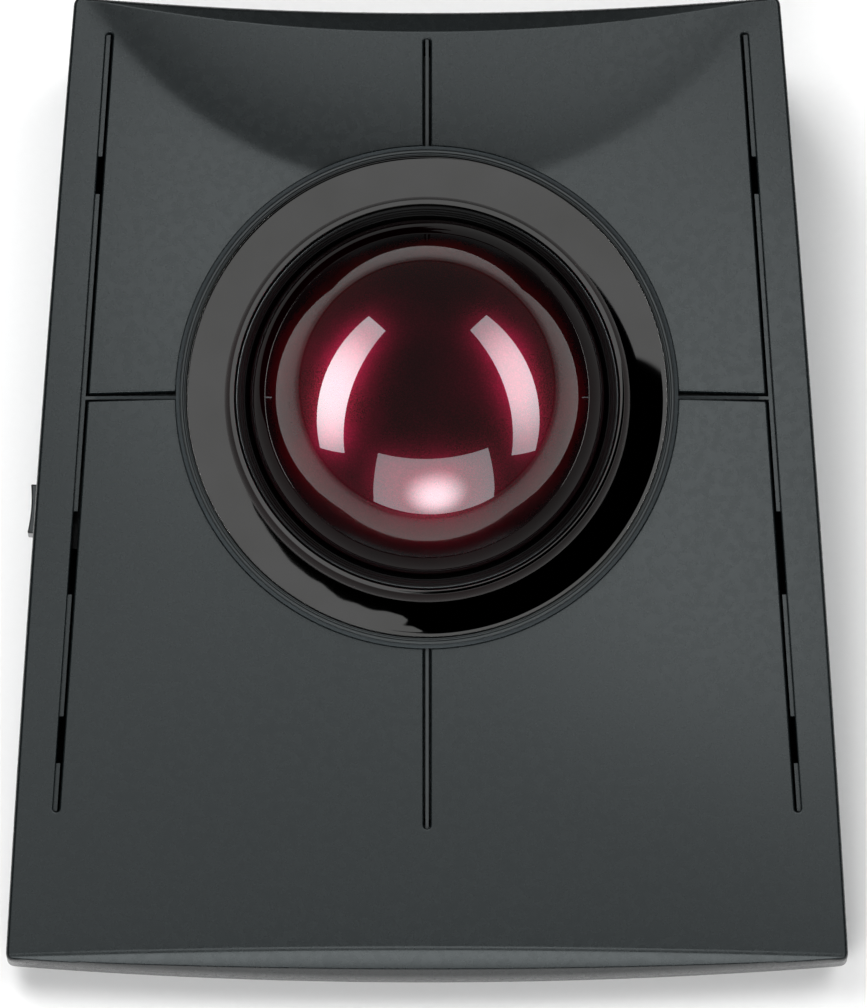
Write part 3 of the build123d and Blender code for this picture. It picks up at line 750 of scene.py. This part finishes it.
def satin_graphite():
    """Satin paint with fine metallic flakes over a cool dark grey."""
    mat = material("satin_graphite", (0.005, 0.008, 0.009), 0.27)
    flakes = noise(mat, 3600, 2).outputs["Fac"]
    cloud = noise(mat, 700, 3).outputs["Fac"]
    tint = between(mat, flakes, (0.003, 0.0052, 0.0058), (0.0075, 0.0108, 0.0117), 0.35, 0.72)
    wire(mat, "Base Color", tint)
    wire(mat, "Roughness", between(mat, cloud, 0.25, 0.29, 0.35, 0.65))
    add_bump(mat, flakes, 0.12, 0.00002)
    return mat


def gloss_dark():
    """The ring's polished dark finish, which mirrors its surroundings dimly."""
    mat = material("gloss_black", (0.56, 0.56, 0.55), 0.03, metallic=1.0)
    smear = noise(mat, 90, 3).outputs["Fac"]
    wire(mat, "Base Color", between(mat, smear, (0.54, 0.54, 0.53), (0.6, 0.6, 0.6)))
    wire(mat, "Roughness", between(mat, smear, 0.02, 0.05))
    return mat


def ball_red():
    """Deep red pearl under a clear coat, with fine speckle and cloudy patches."""
    mat = material("ball_red", (0.06, 0.0012, 0.006), 0.3, metallic=1.0, coat=1.0, coat_roughness=0.0)
    speck = noise(mat, 3800, 2).outputs["Fac"]
    cloud = noise(mat, 85, 5).outputs["Fac"]
    deep = between(mat, cloud, (0.027, 0.0016, 0.0027), (0.048, 0.0013, 0.005), 0.38, 0.62)
    bright = between(mat, cloud, (0.06, 0.0016, 0.0066), (0.093, 0.0016, 0.0105), 0.38, 0.62)
    share = between(mat, speck, 0.0, 1.0, 0.4, 0.75)
    mix = node(mat, "ShaderNodeMix", {0: share, 6: deep, 7: bright}, data_type="RGBA")
    wire(mat, "Base Color", mix.outputs[2])
    shader = mat.node_tree.nodes["Principled BSDF"]
    shader.inputs["Specular Tint"].default_value = (0.08, 0.004, 0.012, 1)
    shader.inputs["Coat IOR"].default_value = 1.5
    return mat


def brushed(name, color, roughness):
    """Metal with fine lines along one way."""
    mat = material(name, color, roughness, metallic=1.0)
    place = node(mat, "ShaderNodeTexCoord")
    stretch = node(mat, "ShaderNodeMapping", {"Vector": place.outputs["Object"], "Scale": (200, 6000, 200)})
    brush = node(mat, "ShaderNodeTexNoise", {"Vector": stretch.outputs["Vector"], "Scale": 1.0})
    lines = brush.outputs["Fac"]
    wire(mat, "Roughness", between(mat, lines, roughness * 0.8, roughness * 1.25))
    add_bump(mat, lines, 0.1, 0.00001)
    return mat


def clear_lens():
    """Clear moulded plastic."""
    mat = moulded("clear_lens", (0.85, 0.87, 0.9), 0.08, bump=0.02)
    mat.node_tree.nodes["Principled BSDF"].inputs["Transmission Weight"].default_value = 0.8
    return mat


SATIN = satin_graphite()
FRAME = moulded("frame_graphite", (0.016, 0.0175, 0.018), 0.4, specular=0.6)
GLOSS = gloss_dark()
BALL_RED = ball_red()
CUP = moulded("cup_black", (0.0045, 0.004, 0.0038), 0.3, grain=900)
TRAY = moulded("tray_black", (0.014, 0.0145, 0.015), 0.55, grain=1600, bump=0.5)
SWITCH = moulded("switch_black", (0.006, 0.006, 0.006), 0.22)
CERAMIC = moulded("ceramic", (0.8, 0.79, 0.75), 0.12, coat=0.6, bump=0.02)
LENS = clear_lens()
BOARD = moulded("board_green", (0.012, 0.075, 0.035), 0.35, grain=700, coat=0.3)
RED_PLASTIC = moulded("switch_red", (0.3, 0.025, 0.016), 0.45)
WHITE_PLASTIC = moulded("plunger_white", (0.7, 0.7, 0.67), 0.4)
FOIL = brushed("cell_silver", (0.55, 0.56, 0.58), 0.38)
STEEL = brushed("steel", (0.6, 0.6, 0.6), 0.3)
RUBBER = moulded("foot_rubber", (0.02, 0.02, 0.02), 0.85, grain=1200, bump=0.6)
RECEIVER = moulded("receiver_black", (0.016, 0.016, 0.016), 0.35)

CAD_LOOKS = {
    "inner_frame": FRAME, "ball_cup": CUP, "base_tray": TRAY, "receiver_bay": TRAY, "bearing": CERAMIC,
    "sensor_lens": LENS, "status_light_pipe": LENS, "sensor_board": BOARD, "main_board": BOARD,
    "microswitch": RED_PLASTIC, "plunger": WHITE_PLASTIC, "battery": FOIL, "usb_c_socket": STEEL,
    "lock_bracket": STEEL, "housing_screws": STEEL, "board_screws": STEEL, "cup_screws": STEEL,
    "usb_receiver": RECEIVER, "foot": RUBBER, "mode_switch_body": SWITCH, "dpi_button": SWITCH,
    "pairing_button": SWITCH, "tact_switches": SWITCH, "mode_slider": SWITCH, "bezel_ring": GLOSS,
    "trackball": BALL_RED, "top_cover": SATIN, "button": SATIN,
}
for name, cad_node in frame["nodes"].items():
    look = next(mat for prefix, mat in CAD_LOOKS.items() if name.startswith(prefix))
    cad_node.data.materials.clear()
    cad_node.data.materials.append(look)

# ---- Cover and button plates ----
cover = deck_piece("top_cover", SATIN)
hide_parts("top_cover")
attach(cover, "housing")
for end, hinge_y in HINGE_Y.items():
    for side_name in ("left", "right"):
        button = f"button_{end}_{side_name}"
        plate = deck_piece(button, SATIN)
        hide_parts(button)
        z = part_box(button)[1].z
        start = (0, hinge_y * MM, z)
        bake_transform(plate)


POST_ARM = 2.0
POST_RIB = 0.6
POST_GAP = 0.05
POST_ROOT = 0.1
POST_CHAMFER = 0.3
POST_SHARES = (0.8, 0.95, 1.0)  # of its section: at the foot, above the chamfer and at the top


def actuator_post(name, centre, bottom, top):
    """The ribbed post under a button plate: a cross in section, tapered towards its foot."""
    section = []
    for quarter in range(4):
        for x, y in ((POST_ARM, -POST_RIB), (POST_ARM, POST_RIB), (POST_RIB, POST_RIB)):
            for _ in range(quarter):
                x, y = -y, x
            section.append((x, y))
    levels = zip((bottom, bottom + POST_CHAMFER, top), POST_SHARES)
    verts = [(centre[0] + x * k, centre[1] + y * k, z) for z, k in levels for x, y in section]
    count = len(section)
    faces = [tuple(range(count))[::-1], tuple(2 * count + i for i in range(count))]
    for level in range(2):
        for i in range(count):
            a, b = level * count + i, level * count + (i + 1) % count
            faces.append((a, b, b + count, a + count))
    return piece(name, verts, faces, SATIN)


for end in HINGE_Y:
    for side_name in ("left", "right"):
        low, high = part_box(f"plunger_{end}_{side_name}")
        centre = (low + high) / 2 / MM
        top = float(deck(centre.x, centre.y)) - DECK_T + POST_ROOT
        post = actuator_post(f"post_{end}_{side_name}", centre, high.z / MM + POST_GAP, top)
        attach(post, f"button_{end}_{side_name}")

# ---- Blades and ledges in the slots ----
BLADE_HALF = 0.24
BLADE_DROP, BLADE_DEPTH = 0.7, 5.0
COLLAR_R = 38.35
runs = []
for side in (-1, 1):
    xs = np.linspace(COLLAR_R, side_slot_x(CROSS_SLOT_Y), 14) * side
    runs.append([[(x, CROSS_SLOT_Y + s * BLADE_HALF) for x in xs] for s in (-1, 1)])
for end, tip in centre_tip_y.items():
    ring_y = ring_on_deck(COLLAR_R, pi / 2 if end == "back" else -pi / 2)[1]
    ys = np.linspace(ring_y, tip, 18)
    runs.append([[(s * BLADE_HALF, y) for y in ys] for s in (-1, 1)])
blades = ribbon("slot_blades", runs, FRAME, BLADE_DROP, BLADE_DEPTH)
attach(blades, "housing")

LEDGE_SPANS = ((50.8, 69.4), (-3.6, 45.0), (-35.0, -16.4), (-49.5, -42.2))
LEDGE_DROP, LEDGE_T = 0.9, 1.2
LEDGE_LIP = 0.12
LEDGE_ROOT = 0.1
for side_name, side in (("left", -1), ("right", 1)):
    runs = []
    for start, end in LEDGE_SPANS:
        ys = np.linspace(start, end, ceil((end - start) / 2) + 1)
        inner = [(side * (side_slot_x(y) - LEDGE_LIP), y) for y in ys]
        outer = [(side * (side_slot_x(y) + SLOT_W / 2 + LEDGE_ROOT), y) for y in ys]
        runs.append((inner, outer))
    ledge = ribbon(f"slot_ledge_{side_name}", runs, SATIN, LEDGE_DROP, LEDGE_T)
    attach(ledge, "housing")

# ---- Ring, collar, cup lip and ball ----
BEZEL_OUT_R = 37.2
FACE_OUT_R, FACE_IN_R = 37.1, 30.05
FACE_TOP = 0.78
FACE_SLOPE = 0.158
FACE_CURVE = 0.0088


def face_height(radius):
    """Height of the ring's polished face, a shallow dish that steepens towards the ball."""
    inwards = FACE_OUT_R - radius
    return FACE_TOP - FACE_SLOPE * inwards - FACE_CURVE * inwards**2


face = [(r, face_height(r), 0) for r in np.linspace(FACE_OUT_R, FACE_IN_R, 12)]
bezel_profile = softened(
    [(BEZEL_OUT_R, -5.0, 0), (BEZEL_OUT_R, 0.74, 0.02), *face]
    + [(29.95, -0.75, 0.05), (30.0, -1.5, 0), (35.2, -1.5, 0), (35.2, -5.0, 0)]
)
bezel = revolved("bezel", bezel_profile, GLOSS, steps=360, sharp=60)
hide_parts("bezel_ring")
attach(bezel, "housing")

collar_profile = softened(
    [
        (38.42, -4.0, 0), (38.42, -0.1, 0.1), (38.3, 0.3, 0.12), (37.92, 0.36, 0.1), (37.78, 0.12, 0.06),
        (37.62, 0.12, 0.06), (37.5, 0.44, 0.06), (37.38, 0.42, 0.08), (37.38, -4.0, 0),
    ]
)
collar = revolved("collar_rim", collar_profile, FRAME, steps=360, sharp=60)
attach(collar, "housing")

lip_profile = softened(
    [
        (29.7, -3.0, 0), (29.7, -1.15, 0.08), (29.5, -1.0, 0.08), (29.22, -1.0, 0.06), (29.12, -1.3, 0.06),
        (28.85, -1.3, 0.06), (28.78, -1.55, 0.06), (28.5, -1.6, 0.06), (28.4, -1.9, 0.1), (28.36, -3.0, 0),
    ]
)
lip = revolved("cup_lip", lip_profile, CUP, steps=300, sharp=60)
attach(lip, "housing")


def ball_mesh(name, centre, radius, cells, mat):
    """A ball from six square grids pushed out to the sphere, so that its faces are even all over."""
    made_ball = bmesh.new()
    x, y, z = Vector((1, 0, 0)), Vector((0, 1, 0)), Vector((0, 0, 1))
    for u, v in ((x, y), (y, x), (y, z), (z, y), (z, x), (x, z)):
        out = u.cross(v)
        grid = []
        for i in range(cells + 1):
            for j in range(cells + 1):
                s, t = (tan((2 * k / cells - 1) * pi / 4) for k in (i, j))
                grid.append(made_ball.verts.new((out + u * s + v * t).normalized() * radius + centre))
        for i in range(cells):
            for j in range(cells):
                k = i * (cells + 1) + j
                made_ball.faces.new((grid[k], grid[k + cells + 1], grid[k + cells + 2], grid[k + 1]))
    bmesh.ops.remove_doubles(made_ball, verts=made_ball.verts, dist=0.01)
    verts = [v.co.copy() for v in made_ball.verts]
    made_ball.verts.index_update()
    faces = [[v.index for v in f.verts] for f in made_ball.faces]
    made_ball.free()
    return piece(name, verts, faces, mat, sharp=80)


ball = ball_mesh("ball_shell", BALL, BALL_R, 40, BALL_RED)
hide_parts("trackball")
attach(ball, "ball")

# ---- Mode switch knob ----
KNOB_LENGTH = 7.7
KNOB_HEIGHT = 5.0
KNOB_DEPTH = 3.7
KNOB_INSET = 0.25
KNOB_HOLLOW = 0.3
KNOB_ROUND = 0.25
KNOB_STEPS = 18
KNOB_ALONG = Vector((0.0739, 0.9973, 0)).normalized()  # the side wall's run beside the knob
KNOB_OUT = Vector((-KNOB_ALONG.y, KNOB_ALONG.x, 0))


def knob_mesh():
    """The thumb knob: a block with a hollowed outer face and rounded edges."""
    middle = (knob_low + knob_high) / 2 / MM
    face = Vector((knob_low.x / MM, middle.y, middle.z)) - KNOB_OUT * KNOB_INSET
    steps = KNOB_STEPS
    rows = []
    for i in range(steps + 1):
        share = 2 * i / steps - 1
        hollow = KNOB_HOLLOW * (1 - share**2)
        rows.append((share * KNOB_LENGTH / 2, -hollow))
    levels = np.linspace(-KNOB_HEIGHT / 2, KNOB_HEIGHT / 2, 7)
    verts, faces = [], []
    for z in levels:
        for a, depth in rows:
            verts.append(face + KNOB_ALONG * a + KNOB_OUT * depth + Vector((0, 0, z)))
    count = steps + 1
    back = len(verts)
    for z in levels:
        for a, _ in rows:
            verts.append(face + KNOB_ALONG * a + KNOB_OUT * -KNOB_DEPTH + Vector((0, 0, z)))
    for j in range(len(levels) - 1):
        for i in range(steps):
            k = j * count + i
            faces.append((k, k + 1, k + count + 1, k + count))
            faces.append((back + k, back + k + count, back + k + count + 1, back + k + 1))
    last = (len(levels) - 1) * count
    for i in range(steps):
        faces.append((i, back + i, back + i + 1, i + 1))
        faces.append((last + i, last + i + 1, back + last + i + 1, back + last + i))
    for j in range(len(levels) - 1):
        k = j * count
        faces.append((k, k + count, back + k + count, back + k))
        k += steps
        faces.append((k, back + k, back + k + count, k + count))
    knob = piece("mode_knob", verts, faces, SWITCH)
    shape = bmesh.new()
    shape.from_mesh(knob.data)
    bmesh.ops.recalc_face_normals(shape, faces=shape.faces)
    sharp_edges = [e for e in shape.edges if e.calc_face_angle(0) > radians(50)]
    bmesh.ops.bevel(shape, geom=sharp_edges, offset=KNOB_ROUND * MM, segments=4, profile=0.5, affect="EDGES")
    shape.to_mesh(knob.data)
    shape.free()
    knob.data.set_sharp_from_angle(angle=radians(40))
    return knob


knob = knob_mesh()
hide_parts("mode_slider")
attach(knob, "mode_slider")

# ---- Floor and light ----
# Lengths are in metres from here on.
FLOOR_HALF = 6.0
FLOOR_ALBEDO = 0.8
FLOOR_GRAIN = 0.005
FLOOR_PAINTED_FALLOFF = (0.35, 0.8)  # the distances over which painted shade dims the floor's colour, standing for light that falls off away from the object
FLOOR_PAINTED_DIMMEST = 0.5
SOFTBOX_COLOR = (0.85, 0.95, 1.0, 1)
SPOT_CORE, SPOT_REACH = 0.1, 0.95  # in half lengths of a soft box
COOL_WHITE = (0.92, 1.0, 1.02)

CEILING_LIGHT = 0.15  # in polished surfaces, outside the dark stretch
WALL_LIGHT = 0.15  # in polished surfaces, and all round in mirror-sharp ones
FILL_LIGHT = 0.1  # on matt surfaces
BACKDROP_LIGHT = 0.85  # where the camera sees past the floor

# The ceiling is what lies within CEILING_REACH of CEILING_WAY. Its dark stretch is a sector about DARK_WAY
# that gets wider between SPREAD_START and SPREAD_END from CEILING_WAY, and one of its sides is ragged.
CEILING_WAY = (0.0, -0.14, 0.99)
CEILING_REACH = radians(33)
CEILING_FADE = CEILING_REACH + 0.14
DARK_WAY = radians(142)
DARK_HALF = radians(58)
DARK_SPREAD = 1.2
DARK_EDGE = 0.02
SPREAD_START = radians(25)
SPREAD_END = radians(30)
RAGGED_SCALE = 9.0
RAGGED_SPAN = 0.6
RAGGED_DEPTH = 1.6


def rectangle(name, half_x, half_y):
    """A flat mesh about its origin, facing up."""
    mesh = bpy.data.meshes.new(name)
    corners = [(-1, -1), (1, -1), (1, 1), (-1, 1)]
    mesh.from_pydata([(x * half_x, y * half_y, 0) for x, y in corners], [], [(0, 1, 2, 3)])
    return mesh


def floor():
    """A large pale floor whose colour is darkened slowly away from the object: painted shade for light
    falling off with distance.
    """
    mesh = rectangle("floor", FLOOR_HALF, FLOOR_HALF)
    mat = material("floor_paper", (FLOOR_ALBEDO,) * 3, 0.9, specular=0.1)
    place = node(mat, "ShaderNodeTexCoord").outputs["Object"]
    reach = node(mat, "ShaderNodeVectorMath", {0: place}, operation="LENGTH").outputs["Value"]
    # Painted shade: the floor's colour is dimmed with distance from the object, in place of the lights'
    # falloff.
    fade = mapped(mat, reach, *FLOOR_PAINTED_FALLOFF, 1.0, FLOOR_PAINTED_DIMMEST, shape="SMOOTHSTEP")
    grain = noise(mat, 900, 2).outputs["Fac"]
    low, high = FLOOR_ALBEDO * (1 - FLOOR_GRAIN), FLOOR_ALBEDO * (1 + FLOOR_GRAIN)
    pale = between(mat, grain, (low,) * 3, (high,) * 3)
    painted_falloff = node(mat, "ShaderNodeVectorMath", {0: pale, "Scale": fade}, operation="SCALE")
    wire(mat, "Base Color", painted_falloff.outputs["Vector"])
    link("floor", mesh, mat)


def softbox(name, centre, along, length, width, edge, peak, spot=(0, 0)):
    """A flat soft light that faces the ball; centre is measured from the ball, along is its length's way.

    Its brightness falls from peak to edge around a spot, which is given in half lengths from its centre.
    """
    centre = Vector(centre)
    long_way = Vector(along).normalized()
    facing = -centre - (-centre).dot(long_way) * long_way
    facing.normalize()
    across = long_way.cross(facing)
    mesh = rectangle(name, width / 2, length / 2)
    mat = bpy.data.materials.new(name)
    mat.use_nodes = True
    mat.node_tree.nodes.remove(mat.node_tree.nodes["Principled BSDF"])
    place = node(mat, "ShaderNodeTexCoord").outputs["Object"]
    shift = node(
        mat, "ShaderNodeMapping",
        {"Vector": place, "Location": (-spot[0], -spot[1], 0), "Scale": (2 / length, 2 / length, 1)},
    ).outputs["Vector"]
    reach = node(mat, "ShaderNodeVectorMath", {0: shift}, operation="LENGTH").outputs["Value"]
    fade = mapped(mat, reach, SPOT_CORE, SPOT_REACH, peak, edge, shape="SMOOTHSTEP")
    glow = node(mat, "ShaderNodeEmission", {"Color": SOFTBOX_COLOR, "Strength": fade})
    out = mat.node_tree.nodes["Material Output"]
    mat.node_tree.links.new(glow.outputs["Emission"], out.inputs["Surface"])
    light = link(name, mesh, mat)
    turn = Matrix((across, long_way, facing)).transposed().to_4x4()
    light.matrix_world = Matrix.Translation(BALL * MM + centre) @ turn
    light.visible_camera = False
    return light


def sky():
    """Dim grey studio walls, with a dark stretch overhead that mirror-sharp surfaces don't see."""
    world = bpy.data.worlds.new("studio")
    world.use_nodes = True
    bpy.context.scene.world = world
    place = node(world, "ShaderNodeTexCoord").outputs["Generated"]
    turned = node(world, "ShaderNodeVectorRotate", {0: place, "Angle": -DARK_WAY}).outputs[0]
    parts = node(world, "ShaderNodeSeparateXYZ", {0: turned}).outputs
    angle = maths(world, "ARCTAN2", parts["Y"], parts["X"])
    clouds = node(world, "ShaderNodeTexNoise", {"Vector": place, "Scale": RAGGED_SCALE}).outputs["Fac"]
    wobble = maths(world, "SUBTRACT", clouds, 0.5)
    one_side = mapped(world, angle, 0.0, -RAGGED_SPAN, 0.0, RAGGED_DEPTH)
    ragged = maths(world, "MULTIPLY", wobble, one_side)
    total = maths(world, "ADD", maths(world, "ABSOLUTE", angle), ragged)
    rise = node(
        world, "ShaderNodeVectorMath", {0: place, 1: CEILING_WAY}, operation="DOT_PRODUCT"
    ).outputs["Value"]
    widest = DARK_HALF + DARK_SPREAD
    reach = mapped(world, rise, cos(SPREAD_START), cos(SPREAD_END), DARK_HALF, widest)
    lit = mapped(world, maths(world, "SUBTRACT", total, reach), 0.0, DARK_EDGE)
    overhead = maths(world, "MULTIPLY", lit, CEILING_LIGHT)
    ceiling = mapped(world, rise, cos(CEILING_FADE), cos(CEILING_REACH))
    rays = node(world, "ShaderNodeLightPath").outputs

    def mixed(share, low, high):
        """Runs from low to high as share runs from 0 to 1."""
        return node(world, "ShaderNodeMix", {0: share, 2: low, 3: high}).outputs[0]

    polished = mixed(ceiling, WALL_LIGHT, overhead)
    glossy = mixed(rays["Is Singular Ray"], polished, WALL_LIGHT)
    plain = mixed(rays["Is Glossy Ray"], FILL_LIGHT, glossy)
    seen = mixed(rays["Is Camera Ray"], plain, BACKDROP_LIGHT)
    background = world.node_tree.nodes["Background"]
    world.node_tree.links.new(seen, background.inputs["Strength"])
    background.inputs["Color"].default_value = (1, 1, 1, 1)


floor()
sky()
softboxes = [
    softbox(
        "softbox_left", (-0.645, 0.075, 0.404), along=(0.307, 1.125, 0.449),
        length=1.25, width=0.29, edge=8, peak=20, spot=(0, -0.15),
    ),
    softbox(
        "softbox_right", (0.655, 0.065, 0.375), along=(-0.32, 1.14, 0.46),
        length=1.27, width=0.29, edge=6, peak=14,
    ),
    softbox(
        "softbox_front", (0.045, -0.625, 0.22), along=(0, 0.25, 0.44),
        length=0.506, width=0.88, edge=4.6, peak=19, spot=(-0.04, -0.2),
    ),
]


def linked_panel(name, place, size_x, size_y, brightness, takers):
    """A rectangular soft light at a place measured from the ball, which only some objects take."""
    lamp = bpy.data.lights.new(name, "AREA")
    lamp.shape = "RECTANGLE"
    lamp.size, lamp.size_y = size_x, size_y
    lamp.energy = brightness * pi * size_x * size_y
    if takers is deck_group:
        lamp.color = COOL_WHITE
    light = bpy.data.objects.new(name, lamp)
    bpy.context.scene.collection.objects.link(light)
    light.location = BALL * MM + Vector(place)
    light.rotation_euler = (-Vector(place)).to_track_quat("-Z", "Y").to_euler()
    light.visible_camera = False
    light.light_linking.receiver_collection = takers


deck_group = bpy.data.collections.new("deck_pieces")
ring_group = bpy.data.collections.new("ring_pieces")
mirror_group = bpy.data.collections.new("mirror_pieces")
floor_group = bpy.data.collections.new("floor_only")
DECK_NAMES = ("slot_", "collar", "top_cover", "button_", "mode_knob")
for obj in bpy.context.scene.objects:
    if obj.name.startswith(DECK_NAMES):
        deck_group.objects.link(obj)
    elif obj.name.startswith("bezel"):
        ring_group.objects.link(obj)
    elif not obj.name.startswith(("softbox", "floor")):
        mirror_group.objects.link(obj)
floor_group.objects.link(bpy.data.objects["floor"])
for box in softboxes:
    box.light_linking.receiver_collection = mirror_group
linked_panel("panel_back", (0, 0.63, 2.7), 2.7, 1.8, 2.0, deck_group)
linked_panel("panel_front", (0, -0.122, 0.195), 0.4, 0.13, 0.8, deck_group)
linked_panel("panel_lip", (0, -0.42, 0.28), 0.5, 0.17, 4.0, deck_group)
linked_panel("panel_right", (0.15, -0.13, 0.88), 0.14, 0.22, 3.5, deck_group)
linked_panel("panel_left", (-0.12, -0.06, 0.88), 0.12, 0.2, 3.0, deck_group)
linked_panel("ring_left", (-0.6, 0.07, 0.375), 1.1, 0.08, 5.0, ring_group)
linked_panel("ring_right", (0.6, 0.07, 0.345), 1.1, 0.08, 6.0, ring_group)
linked_panel("floor_key", (-0.5, 0.6, 1.1), 0.6, 1.0, 9.5, floor_group)
linked_panel("floor_right", (0.6, 0.35, 1.1), 0.6, 0.8, 6.2, floor_group)
linked_panel("floor_fill", (-0.2, -0.7, 1.0), 0.8, 0.8, 6.5, floor_group)

# ---- Camera ----
VIEW_ELEVATION = radians(81.5)
VIEW_DISTANCE = 2.7
VIEW_HEIGHT = 0.1568
AIM = Vector((0.001, -0.0016, 0.018))
camera_data = bpy.data.cameras.new("camera")
camera = bpy.data.objects.new("camera", camera_data)
bpy.context.scene.collection.objects.link(camera)
camera_data.sensor_fit = "VERTICAL"
camera_data.sensor_height = 24
camera_data.lens = camera_data.sensor_height * VIEW_DISTANCE / VIEW_HEIGHT
towards = Vector((0, -cos(VIEW_ELEVATION), sin(VIEW_ELEVATION)))
camera.location = AIM + towards * VIEW_DISTANCE
camera.rotation_euler = (pi / 2 - VIEW_ELEVATION, 0, 0)
camera_data.clip_end = 50
bpy.context.scene.camera = camera
bpy.context.scene.view_settings.view_transform = "Standard"
